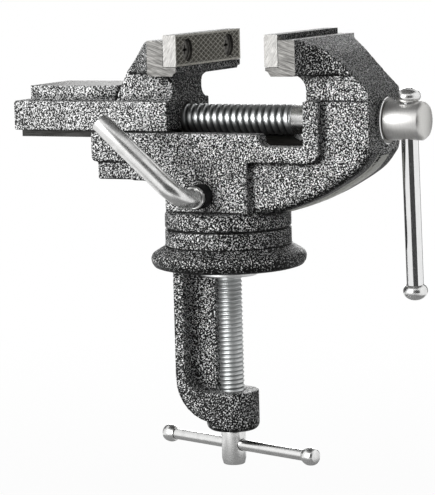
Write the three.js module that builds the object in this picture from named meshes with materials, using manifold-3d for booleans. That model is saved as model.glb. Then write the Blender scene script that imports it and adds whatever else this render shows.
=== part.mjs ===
// Clamp-on swivel bench vise with an 83 mm jaw, in millimetres.
// The origin is on the swivel axis, in the plane of the base disc's underside.
// +X points to the handle of the main screw and +Z up; the bench clamp hangs below the disc.
import * as THREE from 'three';
import { mergeVertices } from 'three/addons/utils/BufferGeometryUtils.js';
import Module from 'manifold-3d';

const wasm = await Module();
wasm.setup();

// Clearances and cutters
const fit = 0.3;
const overrun = 1;
const sliding_fit = 0.4;

// Facets of round shapes
const round_steps = 32;
const rod_steps = 20;
const small_steps = 16;
const arc_steps = 3;
const spline_steps = 7;
const belly_steps = 9;
const ball_rings = 8;
const lever_steps = 24;
const lever_sides = 8;
const socket_sides = 6;

// Jaws
const jaw_width = 83;
const jaw_height = 37.7;
const jaw_opening = 53.7;
const moving_face_offset = 9.5;
const plate_height = 17.5;
const plate_thickness = 8.3;
const plate_proud = 3;
const head_thickness = 9.8;
const lip_height = 5.2;
const lip_setback = 1.2;
const lip_chamfer = 3.2;
const neck_half = 22.8;

// Countersunk jaw screws
const jaw_screw_spacing = 53;
const jaw_screw_head = 12;
const jaw_screw_shank = 6;
const jaw_screw_length = 14;
const jaw_screw_sink = 1.9;

// Fixed casting
const floor_clearance = 2.1;
const channel_clearance = 0.35;
const wall_thickness = 9.9;
const body_reach = 72;
const skirt_depth = 16.5;
const skirt_radius = 2.5;
const ledge_inset = 4.6;
const ledge_depth = 10.3;
const ledge_setback = 2;
const block_half_length = 25.5;
const block_rise = 0.6;
const block_height = 30.9;
const block_corner = 6;
const gusset_reach = 46;
const gusset_rise = 10.5;
const gusset_foot = 11;
const notch_depth = 6.7;
const notch_length = 26;
const notch_radius = 3;
const column_thickness = 9.3;
const column_rise = 12;
const column_root = 16;
const column_radius = 7;
const throat_depth = 15.8;
const throat_radius = 9;
const arch_run = 34.9;
const arch_shoulder_rise = 17;
const arch_hip_drop = 16.2;
const arch_panel_half = 22.8;
const groove_width = 1.4;
const groove_depth = 0.9;
const turntable_radius = 36;
const turntable_height = 9.8;
const turntable_chamfer = 1.6;

// Head slope of the fixed casting, as shares of its run and drop, and of the wing's overhang
const fixed_slope_shares = [[0, 1], [0.15, 0.9], [0.4, 0.72], [0.72, 0.34], [1, 0]];
const fixed_wing_shares = [[0, 1], [0.06, 0.72], [0.15, 0.5], [0.4, 0.13], [0.72, 0.03], [1, 0]];
// Belly of the arch, as shares of its run from the swivel axis and of its rise
const belly_shares = [[0.3, 0], [0.43, 0.07], [0.627, 0.265], [0.79, 0.48], [0.918, 0.725], [1, 1]];

// Moving casting
const bar_front = 23.6;
const bar_back = 122.4;
const bar_inset = 1.1;
const bar_clearance = 0.8;
const bar_height = 16.9;
const riser_back = 56.9;
const riser_step = 3.2;
const riser_shoulder_back = 50.1;
const riser_shoulder_share = 0.441;
const neck_chamfer = 3;
const neck_corner = 5;
const moving_slope_shares = [[0, 1], [0.2, 0.9], [0.54, 0.52], [0.82, 0.22], [1, 0]];
const moving_wing_shares = [[0, 1], [0.2, 0.74], [0.54, 0.38], [0.82, 0.1], [1, 0]];
const anvil_start = 113.4;
const anvil_end = 70.5;
const anvil_half = 23;
const anvil_height = 8.4;
const bridge_half = 12.5;
const slot_end_wall = 6.4;

// Guide plate under the bar
const guide_thickness = 4.1;
const guide_screw_shank = 4;
const guide_screw_head = 7.4;
const guide_screw_length = 10;
const guide_screw_line = 13.8;
const guide_screw_place_shares = [0.12, 0.6];

// Main screw
const screw_rise = 5.4;
const thread_diameter = 17;
const thread_root = 13.6;
const thread_pitch = 4;
const thread_start = 62;
const journal_diameter = 16.4;
const journal_lead = 16.2;
const head_diameter = 21.6;
const head_face = 17.6;
const head_tail = 10.3;
const head_chamfer = 2.2;
const thrust_washer_diameter = 26.2;
const thrust_washer_thickness = 2.2;
const inner_washer_diameter = 24;
const inner_washer_thickness = 2;
const split_pin_diameter = 3.6;
const split_pin_stand = 4.8;
const split_pin_gap = 4.5;

// Main handle
const handle_inset = 11.5;
const handle_tilt = THREE.MathUtils.degToRad(3.1);
const handle_diameter = 9.5;
const handle_length = 108.8;
const ball_diameter = 13;
const ball_height = 9.6;
const ball_seat = 13.8;
const spigot_diameter = 6;
const spigot_length = 5;
const ball_shoulder_share = 0.6;

// Nut in the moving casting
const nut_length = 18;
const nut_wall = 4.2;
const nut_rise = 13.1;
const nut_flange_inset = 1;
const nut_flange_thickness = 4.2;
const nut_front_wall = 4;
const nut_screw_offset = 1;
const nut_screw_shank = 5;
const nut_screw_head = 8.5;
const nut_screw_head_height = 3;
const nut_screw_length = 17;

// Base disc and neck
const disc_radius = 44.4;
const disc_flat_radius = 38.5;
const disc_rim = 6.2;
const relief_radius = 18.5;
const relief_depth = 0.5;
const flare_foot = 8.6;
const flare_radius = 43.3;
const flare_top = 13.5;
const neck_radius = 36;
const neck_top = 22.9;
// Rounded lower edge of the disc, as shares of its overhang and of the rim's height
const disc_rim_shares = [[0.66, 0.18], [0.93, 0.58], [1, 1]];

// Swivel post and its retainer
const post_diameter = 22;
const post_foot_diameter = 16;
const post_foot = 5;
const post_washer_diameter = 29;
const post_washer_thickness = 2;
const post_screw_shank = 8;
const post_screw_head = 13;
const post_screw_head_height = 4.6;
const post_screw_length = 20;
const post_socket = 6;
const post_socket_depth = 2.6;

// Clamp spine, arm and boss
const spine_thickness = 6.3;
const spine_half = 15.2;
const rib_half = 3;
const rib_clearance = 1.1;
const rib_depth = 14.4;
const rib_fillet = 5.2;
const arm_top = -71.3;
const arm_thickness = 17.5;
const arm_flat = 4;
const arm_inner_radius = 11;
const boss_radius = 15.2;
const boss_drop = 5.4;
const boss_rounding = 3.6;
const boss_corner_share = 0.3;

// Clamp screw
const clamp_thread_diameter = 14;
const clamp_thread_root = 11.8;
const clamp_pitch = 2.5;
const clamp_neck_diameter = 12.6;
const clamp_neck_length = 3.6;
const clamp_tail = 11.6;
const clamp_end_face = 12;
const clamp_end_chamfer = 4;
const clamp_plain_length = 20;
const clamp_tip_diameter = 8;

// Clamp pad and its ring
const pad_radius = 16.4;
const pad_thickness = 3.2;
const pad_ring_diameter = 12;
const pad_ring_thickness = 0.8;
const pad_recess_depth = 1.6;

// Clamp handle
const clamp_handle_drop = 8.5;
const clamp_handle_angle = THREE.MathUtils.degToRad(-19);
const clamp_handle_diameter = 6.4;
const clamp_handle_near = 60;
const clamp_handle_far = 51.3;
const knob_diameter = 10.2;
const knob_length = 8.6;
const knob_spigot_diameter = 4;
const knob_socket_share = 0.6;
// Knob profile from its neck to its end face, as shares of its radius and length
const knob_shares = [[0.7, 0], [1, 0.3], [1, 0.6], [0.86, 0.86], [0.5, 1]];

// Swivel lock
const lock_x = -1.9;
const lock_rise = 9.6;
const lock_stud_diameter = 10;
const lock_spacer_wall = 1.6;
const lock_spacer_length = 8.6;
const lock_collar_wall = 1.1;
const lock_collar_length = 2.8;
const lever_diameter = 10.2;
const lever_lead = 1.7;
const lever_bend = 13;
const lever_rise = 45;
const lever_lean = 12.5;
const lever_reach = 43;
const brake_shoe_length = 6;
const brake_shoe_undersize = 1;

// Places along the screw
const jaw_half = jaw_width / 2;
const moving_face = -moving_face_offset;
const fixed_face = moving_face + jaw_opening;
const inner_wall = fixed_face + throat_depth;
const notch_start = inner_wall - notch_length;
const arch_back = fixed_face + plate_thickness + head_thickness + arch_run;
const head_start = arch_back + fit + thrust_washer_thickness + fit;
const handle_place = head_start + handle_inset;
const head_end = handle_place + head_tail;
const thread_end = inner_wall - journal_lead;
const nut_end = -bar_front - nut_front_wall;

// Half widths, from the nut's bore outwards
const nut_half = thread_diameter / 2 + fit + nut_wall;
const nut_screw_line = nut_half + nut_screw_offset;
const channel_half = nut_screw_line + nut_screw_head / 2 + channel_clearance;
const nut_flange_half = channel_half - nut_flange_inset;
const guide_half = channel_half - sliding_fit;
const wall_half = channel_half + wall_thickness;
const bar_half = wall_half - bar_inset;

// Heights above the disc's underside
const turntable_bottom = neck_top + fit;
const turntable_top = turntable_bottom + turntable_height;
const block_bottom = turntable_top + block_rise;
const channel_floor = block_bottom + block_height;
const nut_bottom = channel_floor + floor_clearance + nut_screw_head_height + fit;
const nut_flange_top = nut_bottom + nut_flange_thickness;
const bar_bottom = nut_flange_top + fit + guide_thickness + fit;
const wall_top = bar_bottom - bar_clearance;
const body_skirt = wall_top - skirt_depth;
const column_foot = wall_top - column_root;
const bar_top = bar_bottom + bar_height;
const anvil_top = bar_top + anvil_height;
const screw_axis = bar_bottom + screw_rise;
const column_top = screw_axis + column_rise;
const arch_shoulder = screw_axis + arch_shoulder_rise;
const arch_hip = screw_axis - arch_hip_drop;
const jaw_top = bar_top + jaw_height;
const plate_bottom = jaw_top - plate_height;
const head_top = jaw_top - plate_proud;
const head_bottom = plate_bottom - lip_height;
const riser_foot = bar_top + riser_step;
const riser_shoulder = riser_foot + riser_shoulder_share * (head_top - riser_foot);
const nut_top = screw_axis + nut_rise;
const post_top = channel_floor - post_screw_head_height - post_washer_thickness - 3 * fit;
const lock_height = block_bottom + lock_rise;

// Places of the bench clamp
const rib_edge = clamp_thread_diameter / 2 + rib_clearance;
const spine_inside = rib_edge + rib_depth;
const spine_back = spine_inside + spine_thickness;
const arm_outer_radius = spine_back - arm_flat;
const arm_bottom = arm_top - arm_thickness;
const boss_bottom = arm_bottom - boss_drop;
const clamp_handle_height = boss_bottom - clamp_handle_drop;
const clamp_end = clamp_handle_height - clamp_tail;

// Directions
const x_axis = new THREE.Vector3(1, 0, 0);
const y_axis = new THREE.Vector3(0, 1, 0);
const z_axis = new THREE.Vector3(0, 0, 1);
const clamp_handle_direction = new THREE.Vector3(
  Math.cos(clamp_handle_angle), Math.sin(clamp_handle_angle), 0);
const handle_direction = new THREE.Vector3(0, -Math.sin(handle_tilt), Math.cos(handle_tilt));
const handle_middle = new THREE.Vector3(handle_place, 0, screw_axis);

// Finishes
const finish = (color, roughness, metalness) => () => (
  new THREE.MeshStandardMaterial({ color, roughness, metalness }));
const hammer_paint = finish(0x6d6f70, 0.45, 0.3);
const bright_steel = finish(0xc9cacb, 0.2, 1);
const satin_steel = finish(0xb4b5b6, 0.4, 1);
const dark_steel = finish(0x4a4b4c, 0.55, 0.9);
const black_oxide = finish(0x1d1d1e, 0.6, 0.2);
const bronze = finish(0xa8834a, 0.4, 1);

// Solid made from a closed geometry
function solid(geometry) {
  const bare = geometry.clone();
  bare.deleteAttribute('normal');
  bare.deleteAttribute('uv');
  const merged = mergeVertices(bare);
  const corners = merged.index.array;
  const triangles = [];
  for (let i = 0; i < corners.length; i += 3) {
    const [a, b, c] = corners.slice(i, i + 3);
    if (a !== b && b !== c && c !== a) triangles.push(a, b, c);
  }
  return new wasm.Manifold(new wasm.Mesh({
    numProp: 3,
    vertProperties: new Float32Array(merged.attributes.position.array),
    triVerts: new Uint32Array(triangles),
  }));
}

// Joined and cut solids
const joined = (...solids) => solids.reduce((whole, next) => whole.add(next));
const cut = (whole, ...cutters) => cutters.reduce((rest, cutter) => rest.subtract(cutter), whole);

// Geometry turned from its own +Y to a direction and moved to a place
function placed(geometry, place, direction) {
  geometry.applyQuaternion(new THREE.Quaternion().setFromUnitVectors(y_axis, direction));
  geometry.translate(place.x, place.y, place.z);
  return solid(geometry);
}

// Turned solid from [radius, height] points, listed from the bottom up
function turned(profile, place, direction, steps = round_steps) {
  const points = profile.map(([radius, height]) => new THREE.Vector2(radius, height));
  return placed(new THREE.LatheGeometry(points, steps), place, direction);
}

// Round bar between two heights along a direction
function bar(radius, from, to, place, direction, steps = rod_steps) {
  return turned([[0, from], [radius, from], [radius, to], [0, to]], place, direction, steps);
}

// Box between two corners
function block(x0, x1, y0, y1, z0, z1) {
  const geometry = new THREE.BoxGeometry(x1 - x0, y1 - y0, z1 - z0);
  return solid(geometry.translate((x0 + x1) / 2, (y0 + y1) / 2, (z0 + z1) / 2));
}

// Closed outline from [u, v, corner radius] points
function outline(corners) {
  const shape = new THREE.Shape();
  corners.forEach(([u, v, radius = 0], i) => {
    if (radius === 0) {
      if (i === 0) shape.moveTo(u, v);
      else shape.lineTo(u, v);
      return;
    }
    const here = new THREE.Vector2(u, v);
    const before = new THREE.Vector2(...corners[i - 1].slice(0, 2)).sub(here).normalize();
    const after = new THREE.Vector2(...corners[(i + 1) % corners.length].slice(0, 2)).sub(here).normalize();
    const half = Math.acos(before.dot(after)) / 2;
    const start = here.clone().addScaledVector(before, radius / Math.tan(half));
    const end = here.clone().addScaledVector(after, radius / Math.tan(half));
    const inward = before.clone().add(after).normalize();
    const centre = here.clone().addScaledVector(inward, radius / Math.sin(half));
    const turn = before.cross(after) > 0;
    shape.absarc(centre.x, centre.y, radius, start.sub(centre).angle(), end.sub(centre).angle(), turn);
  });
  return shape;
}

// Outline pulled along an axis: side views run along Y, plans along Z and end views along X
function pulled(corners, from, to, [u, v, w]) {
  const settings = { depth: to - from, bevelEnabled: false, curveSegments: arc_steps };
  const geometry = new THREE.ExtrudeGeometry(outline(corners), settings);
  geometry.translate(0, 0, from);
  geometry.applyMatrix4(new THREE.Matrix4().makeBasis(u, v, w));
  return solid(geometry);
}
const side_axes = [x_axis, z_axis, y_axis.clone().negate()];
const plan_axes = [x_axis, y_axis, z_axis];
const side_view = (corners, half) => pulled(corners, -half, half, side_axes);
const plan_view = (corners, bottom, top) => pulled(corners, bottom, top, plan_axes);

// Smooth line through points
function smooth(points, steps = spline_steps) {
  const curve = new THREE.SplineCurve(points.map(([u, v]) => new THREE.Vector2(u, v)));
  return curve.getPoints(steps).map((point) => [point.x, point.y]);
}

// Thread forms over one pitch, as shares of the pitch and of the thread depth
const flat_thread_shares = [[0, 0], [0.3, 1], [0.62, 1], [0.92, 0]];
const vee_thread_shares = [[0, 0], [0.5, 1]];

// Screw thread: a helical ridge on a core, cut square at both ends
function thread({ crest, root, pitch, from, to, rows, steps, place, direction }) {
  const turns = Math.ceil((to - from) / pitch) + 2;
  const row_count = turns * rows.length;
  const positions = [];
  for (let row = 0; row <= row_count; row += 1) {
    const [share, raised] = rows[row % rows.length];
    const height = from - pitch + (Math.floor(row / rows.length) + share) * pitch;
    for (let step = 0; step < steps; step += 1) {
      const angle = (step / steps) * 2 * Math.PI;
      const radius = root + (crest - root) * raised;
      positions.push(radius * Math.cos(angle), height + (step / steps) * pitch, -radius * Math.sin(angle));
    }
  }
  const corner = (row, step) => (step < steps ? row * steps + step : (row + rows.length) * steps);
  const last_row = row_count - rows.length;
  const triangles = [];
  for (let row = 0; row < last_row; row += 1) {
    for (let step = 0; step < steps; step += 1) {
      const [a, b] = [corner(row, step), corner(row, step + 1)];
      const [c, d] = [corner(row + 1, step + 1), corner(row + 1, step)];
      triangles.push(a, b, c, a, c, d);
    }
  }
  const ends = [[0, from - pitch, 1], [last_row, from - pitch + (last_row / rows.length) * pitch, -1]];
  for (const [row, height, side] of ends) {
    const centre = positions.length / 3;
    positions.push(0, height, 0);
    const rim = [];
    for (let step = 0; step <= steps; step += 1) rim.push(corner(row, step));
    for (let back = rows.length - 1; back > 0; back -= 1) rim.push(corner(row + back, 0));
    rim.forEach((here, i) => {
      const next = rim[(i + 1) % rim.length];
      if (side > 0) triangles.push(centre, next, here);
      else triangles.push(centre, here, next);
    });
  }
  const geometry = new THREE.BufferGeometry();
  geometry.setAttribute('position', new THREE.Float32BufferAttribute(positions, 3));
  geometry.setIndex(triangles);
  const whole = placed(geometry, place, direction);
  return whole.intersect(bar(crest * 2, from, to, place, direction, small_steps));
}

// Named piece of the model
const vise = new THREE.Group();
function add(name, body, material) {
  const { vertProperties, triVerts } = body.getMesh();
  const geometry = new THREE.BufferGeometry();
  geometry.setAttribute('position', new THREE.Float32BufferAttribute(vertProperties, 3));
  geometry.setIndex([...triVerts]);
  geometry.computeVertexNormals();
  const mesh = new THREE.Mesh(geometry, material());
  mesh.name = name;
  vise.add(mesh);
}

// Jaw head: full-width block with a rebate for the plate, and wings that narrow to the neck.
// Side is +1 where the casting lies on the +X side of the jaw face.
function jaw_head({ face, side, run, drop, slope_shares, wing_shares }) {
  const plate_back = face + side * plate_thickness;
  const head_back = plate_back + side * head_thickness;
  const lip_front = face + side * lip_setback;
  const bar_outline = [
    [plate_back, head_top], [plate_back, plate_bottom - fit], [lip_front, plate_bottom - fit],
    [lip_front, head_bottom + lip_chamfer], [lip_front + side * lip_chamfer, head_bottom],
    [head_back, head_bottom], [head_back, head_top],
  ];
  const place = ([along, up]) => [head_back + side * along * run, head_top - drop + up * drop];
  const slope = smooth(slope_shares.map(place));
  const foot = head_top - drop - overrun;
  const roof = [[plate_back, foot], [plate_back, head_top], ...slope, [slope.at(-1)[0], foot]];
  const wing_width = ([along, out]) => [
    head_back + side * along * run, neck_half + out * (jaw_half - neck_half),
  ];
  const wing_edge = smooth(wing_shares.map(wing_width));
  const wing_plan = [
    [plate_back, jaw_half], ...wing_edge,
    ...wing_edge.map(([x, y]) => [x, -y]).reverse(), [plate_back, -jaw_half],
  ];
  const wings = side_view(roof, jaw_half).intersect(plan_view(wing_plan, head_bottom, jaw_top));
  return { slope, plate_back, lip_front, body: joined(side_view(bar_outline, jaw_half), wings) };
}

// Clearance holes for the two jaw screws, open towards the plate
function jaw_screw_holes(face, side) {
  const radius = jaw_screw_shank / 2 + fit;
  const end = jaw_screw_length + jaw_screw_sink + fit;
  return [-1, 1].map((hand) => bar(radius, plate_thickness - overrun, end,
    new THREE.Vector3(face, hand * jaw_screw_spacing / 2, (jaw_top + plate_bottom) / 2),
    x_axis.clone().multiplyScalar(side), small_steps));
}

// Jaw plate with countersunk holes, and its two screws
function jaw_plate(name, face, side) {
  const facing = x_axis.clone().multiplyScalar(side);
  const back = face + side * (plate_thickness - fit);
  const middle = (jaw_top + plate_bottom) / 2;
  const head_radius = jaw_screw_head / 2;
  const shank_radius = jaw_screw_shank / 2;
  const cone = head_radius - shank_radius;
  let plate = block(Math.min(face, back), Math.max(face, back), -jaw_half, jaw_half, plate_bottom, jaw_top);
  [-1, 1].forEach((hand, i) => {
    const place = new THREE.Vector3(face, hand * jaw_screw_spacing / 2, middle);
    const sink = jaw_screw_sink;
    const hole = turned([
      [0, -overrun], [head_radius + fit, -overrun],
      [head_radius + fit, sink], [shank_radius + fit, sink + cone],
      [shank_radius + fit, plate_thickness + overrun], [0, plate_thickness + overrun],
    ], place, facing, rod_steps);
    plate = cut(plate, hole);
    add(`${name}_screw_${i + 1}`, turned([
      [0, sink], [head_radius, sink], [shank_radius, sink + cone],
      [shank_radius, sink + jaw_screw_length], [0, sink + jaw_screw_length],
    ], place, facing, rod_steps), satin_steel);
  });
  add(name, plate, dark_steel);
}

// Fixed casting: trough, column, arch, jaw head and turntable
function vise_body() {
  const head = jaw_head({
    face: fixed_face, side: 1,
    run: arch_run, drop: head_top - arch_shoulder,
    slope_shares: fixed_slope_shares, wing_shares: fixed_wing_shares,
  });
  const belly = smooth(belly_shares.map(([along, up]) => [
    along * arch_back, block_bottom - turntable_chamfer + up * (arch_hip - block_bottom + turntable_chamfer),
  ]), belly_steps);
  const arch = side_view([
    [0, block_bottom], ...belly, ...head.slope.slice().reverse(),
    [head.plate_back, head_top], [head.plate_back, plate_bottom - fit], [head.lip_front, plate_bottom - fit],
    [head.lip_front, head_bottom + lip_chamfer], [head.lip_front + lip_chamfer, head_bottom],
    [inner_wall, head_bottom, throat_radius], [inner_wall, column_foot], [0, column_foot],
  ], arch_panel_half);
  const trough = side_view([
    [-body_reach, wall_top], [-body_reach, body_skirt, skirt_radius],
    [-gusset_reach, body_skirt], [-gusset_reach, body_skirt - gusset_rise],
    [-block_half_length - gusset_foot, body_skirt - gusset_rise, block_corner],
    [-block_half_length, block_bottom + gusset_foot, block_corner], [-block_half_length, block_bottom],
    [block_half_length, block_bottom], [block_half_length, column_foot],
    [inner_wall + column_thickness, column_foot, column_radius], [inner_wall + column_thickness, column_top],
    [inner_wall, column_top], [inner_wall, wall_top - notch_depth],
    [notch_start, wall_top - notch_depth, notch_radius], [notch_start, wall_top, notch_radius],
  ], wall_half);
  const ledge = block(-body_reach + ledge_inset, 0, -wall_half + ledge_setback, wall_half - ledge_setback,
    body_skirt - ledge_depth, channel_floor);
  const turntable = turned([
    [0, turntable_bottom], [turntable_radius, turntable_bottom],
    [turntable_radius, turntable_top - turntable_chamfer],
    [turntable_radius - turntable_chamfer, turntable_top],
    [turntable_radius - 2 * turntable_chamfer, block_bottom + fit], [0, block_bottom + fit],
  ], new THREE.Vector3(), z_axis);
  const channel = block(-body_reach - overrun, inner_wall, -channel_half, channel_half,
    channel_floor, column_top + overrun);
  const screw_line = new THREE.Vector3(0, 0, screw_axis);
  const journal = journal_diameter / 2 + fit;
  const screw_bore = bar(journal, inner_wall - overrun, arch_back + overrun, screw_line, x_axis);
  const post_bore = bar(post_diameter / 2 + fit, neck_top - overrun, channel_floor + overrun,
    new THREE.Vector3(), z_axis);
  const washer_seat = bar(post_washer_diameter / 2 + fit, post_top - fit, channel_floor + overrun,
    new THREE.Vector3(), z_axis);
  const stud_bore = bar(lock_stud_diameter / 2 + fit, 0, wall_half + overrun,
    new THREE.Vector3(lock_x, 0, lock_height), y_axis.clone().negate(), small_steps);
  const grooves = [-1, 1].map((hand) => block(
    inner_wall + column_thickness - overrun, arch_back + overrun,
    hand * arch_panel_half - groove_depth, hand * arch_panel_half + groove_depth,
    column_top - groove_width / 2, column_top + groove_width / 2));
  const casting = joined(trough, ledge, arch, head.body, turntable);
  add('vise_body', cut(casting, channel, screw_bore, post_bore, washer_seat, stud_bore, ...grooves,
    ...jaw_screw_holes(fixed_face, 1)), hammer_paint);
  jaw_plate('fixed_jaw_plate', fixed_face, 1);
}

// Moving casting: bar with the screw slot, riser, jaw head and anvil
function moving_jaw() {
  const head = jaw_head({
    face: moving_face, side: -1,
    run: riser_shoulder_back + moving_face - plate_thickness - head_thickness,
    drop: head_top - riser_shoulder, slope_shares: moving_slope_shares, wing_shares: moving_wing_shares,
  });
  const slide = block(-bar_back, -bar_front, -bar_half, bar_half, bar_bottom, bar_top);
  const riser = side_view([
    [-bar_front, bar_top - overrun], [-bar_front, head_bottom - neck_chamfer],
    [-bar_front + neck_chamfer, head_bottom], [head.plate_back, head_bottom],
    [head.plate_back, head_top], ...head.slope, [-riser_back, riser_foot], [-riser_back, bar_top - overrun],
  ], neck_half);
  const corners = [-1, 1].map((hand) => plan_view([
    [-bar_front - neck_corner - overrun, hand * (neck_half + overrun)],
    [overrun - bar_front + neck_chamfer, hand * (neck_half - neck_corner - neck_chamfer - overrun)],
    [overrun - bar_front + neck_chamfer, hand * (neck_half + overrun)],
  ], bar_top, head_bottom));
  const anvil = block(-anvil_start, -anvil_end, -anvil_half, anvil_half, bar_top - overrun, anvil_top);
  const bridge_side = (anvil_half + bridge_half) / 2;
  const bridge_plan = [[-anvil_end, anvil_half], [-anvil_end + anvil_half - bridge_half, bridge_side],
    [-riser_back, bridge_half]];
  const bridge_edge = [
    [-anvil_end - overrun, anvil_half], ...smooth(bridge_plan), [-riser_back + overrun, bridge_half],
  ];
  const bridge = plan_view([...bridge_edge, ...bridge_edge.map(([x, y]) => [x, -y]).reverse()],
    bar_top - overrun, anvil_top);
  const slot_radius = thread_diameter / 2 + fit;
  const slot_back = -bar_back + slot_end_wall;
  const screw_line = new THREE.Vector3(0, 0, screw_axis);
  const slot = joined(
    block(slot_back, -bar_front + overrun, -slot_radius, slot_radius, bar_bottom - overrun, screw_axis),
    bar(slot_radius, slot_back, -bar_front + overrun, screw_line, x_axis));
  const pocket = block(nut_end - nut_length - fit, nut_end + fit, -nut_half - fit, nut_half + fit,
    bar_bottom - overrun, nut_top + fit);
  const screw_holes = guide_screw_places().concat(nut_screw_places()).map(([x, y, radius, top]) => bar(
    radius + fit, bar_bottom - overrun, top + fit, new THREE.Vector3(x, y, 0), z_axis, small_steps));
  const casting = joined(slide, cut(riser, ...corners), head.body, anvil, bridge);
  add('moving_jaw', cut(casting, slot, pocket, ...screw_holes, ...jaw_screw_holes(moving_face, -1)),
    hammer_paint);
  jaw_plate('moving_jaw_plate', moving_face, -1);
}

// Places of the guide screws and the nut screws: x, y, shank radius and top
function guide_screw_places() {
  const length = bar_back - bar_front;
  const top = bar_bottom - fit - guide_thickness + guide_screw_length;
  return guide_screw_place_shares.flatMap((share) => [-1, 1].map((hand) => [
    -bar_back + share * length, hand * guide_screw_line, guide_screw_shank / 2, top,
  ]));
}
function nut_screw_places() {
  const middle = nut_end - nut_length / 2;
  const top = nut_bottom - nut_screw_head_height + nut_screw_length;
  return [-1, 1].map((hand) => [middle, hand * nut_screw_line, nut_screw_shank / 2, top]);
}

// Guide plate that runs between the walls of the trough, and its countersunk screws
function guide_plate() {
  const top = bar_bottom - fit;
  const bottom = top - guide_thickness;
  const slot_half = thread_diameter / 2 + fit;
  const plate = block(-bar_back, -bar_front, -guide_half, guide_half, bottom, top);
  const slot = block(-bar_back + slot_end_wall, -bar_front + overrun, -slot_half, slot_half,
    bottom - overrun, top + overrun);
  const pocket = block(nut_end - nut_length - fit, nut_end + fit, -nut_half - fit, nut_half + fit,
    bottom - overrun, top + overrun);
  const head_radius = guide_screw_head / 2;
  const profile = (radius, grow, end) => [
    [0, -grow], [head_radius + grow, -grow], [head_radius + grow, 0],
    [radius + grow, head_radius - radius], [radius + grow, end], [0, end],
  ];
  const cutters = guide_screw_places().map(([x, y, radius]) => turned(
    profile(radius, fit, guide_thickness + overrun), new THREE.Vector3(x, y, bottom), z_axis, small_steps));
  const nut_holes = nut_screw_places().map(([x, y, radius]) => bar(
    radius + fit, bottom - overrun, top + overrun, new THREE.Vector3(x, y, 0), z_axis, small_steps));
  add('guide_plate', cut(plate, slot, pocket, ...cutters, ...nut_holes), dark_steel);
  guide_screw_places().forEach(([x, y, radius], i) => add(`guide_screw_${i + 1}`, turned([
    [0, 0], [head_radius, 0], [radius, head_radius - radius],
    [radius, guide_screw_length], [0, guide_screw_length],
  ], new THREE.Vector3(x, y, bottom), z_axis, small_steps), satin_steel));
}

// Bronze nut with a flange, held up into the moving casting by two screws
function main_nut() {
  const core = block(nut_end - nut_length, nut_end, -nut_half, nut_half, nut_bottom, nut_top);
  const flange = block(nut_end - nut_length, nut_end, -nut_flange_half, nut_flange_half,
    nut_bottom, nut_flange_top);
  const bore = bar(thread_diameter / 2 + fit, nut_end - nut_length - overrun, nut_end + overrun,
    new THREE.Vector3(0, 0, screw_axis), x_axis);
  const screw_holes = nut_screw_places().map(([x, y, radius]) => bar(
    radius + fit, nut_bottom - overrun, nut_top + overrun, new THREE.Vector3(x, y, 0), z_axis, small_steps));
  add('main_nut', cut(joined(core, flange), bore, ...screw_holes), bronze);
  const head_bottom_z = nut_bottom - fit - nut_screw_head_height;
  const head_radius = nut_screw_head / 2;
  nut_screw_places().forEach(([x, y, radius], i) => add(`nut_screw_${i + 1}`, turned([
    [0, 0], [head_radius, 0], [head_radius, nut_screw_head_height], [radius, nut_screw_head_height],
    [radius, nut_screw_length], [0, nut_screw_length],
  ], new THREE.Vector3(x, y, head_bottom_z), z_axis, small_steps), satin_steel));
}

// Main screw with its thread, journal and drilled head
function main_screw() {
  const line = new THREE.Vector3(0, 0, screw_axis);
  const journal_radius = journal_diameter / 2;
  const head_radius = head_diameter / 2;
  const ridge = thread({
    crest: thread_diameter / 2, root: thread_root / 2, pitch: thread_pitch,
    from: -thread_start, to: thread_end,
    rows: flat_thread_shares, steps: rod_steps, place: line, direction: x_axis,
  });
  const shaft = turned([
    [0, thread_end - overrun], [journal_radius, thread_end - overrun], [journal_radius, head_start],
    [head_radius, head_start], [head_radius, head_end - head_chamfer],
    [head_face / 2, head_end], [0, head_end],
  ], line, x_axis);
  const hole = bar(handle_diameter / 2 + fit, -head_diameter, head_diameter, handle_middle, handle_direction);
  const dishes = [-1, 1].map((hand) => flattened_ball(ball_diameter / 2 + fit, ball_height / 2 + fit, 0,
    handle_middle.clone().addScaledVector(handle_direction, hand * ball_seat), handle_direction));
  const pin_hole = bar(split_pin_diameter / 2 + fit, -head_diameter, head_diameter,
    split_pin_place(), handle_direction, small_steps);
  add('main_screw', cut(joined(ridge, shaft), hole, ...dishes, pin_hole), bright_steel);
}

// Washers on both sides of the column, and the split pin that keeps the screw in
function split_pin_place() {
  const along = inner_wall - fit - inner_washer_thickness - split_pin_gap;
  return new THREE.Vector3(along, 0, screw_axis);
}
function screw_retainers() {
  const line = new THREE.Vector3(0, 0, screw_axis);
  const washer = (name, from, thickness, diameter) => add(name, cut(
    bar(diameter / 2, from, from + thickness, line, x_axis, round_steps),
    bar(journal_diameter / 2 + fit, from - overrun, from + thickness + overrun, line, x_axis)), bright_steel);
  washer('outer_thrust_washer', arch_back + fit, thrust_washer_thickness, thrust_washer_diameter);
  washer('inner_thrust_washer', inner_wall - fit - inner_washer_thickness, inner_washer_thickness,
    inner_washer_diameter);
  const radius = split_pin_diameter / 2;
  const place = split_pin_place();
  const reach = journal_diameter / 2 + split_pin_stand;
  const pin = bar(radius, -reach, reach, place, handle_direction, small_steps);
  const foot = place.clone().addScaledVector(handle_direction, radius - reach);
  const leg = bar(radius, 0, split_pin_gap - fit, foot, x_axis, small_steps);
  add('split_pin', joined(pin, leg), bright_steel);
}

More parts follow.
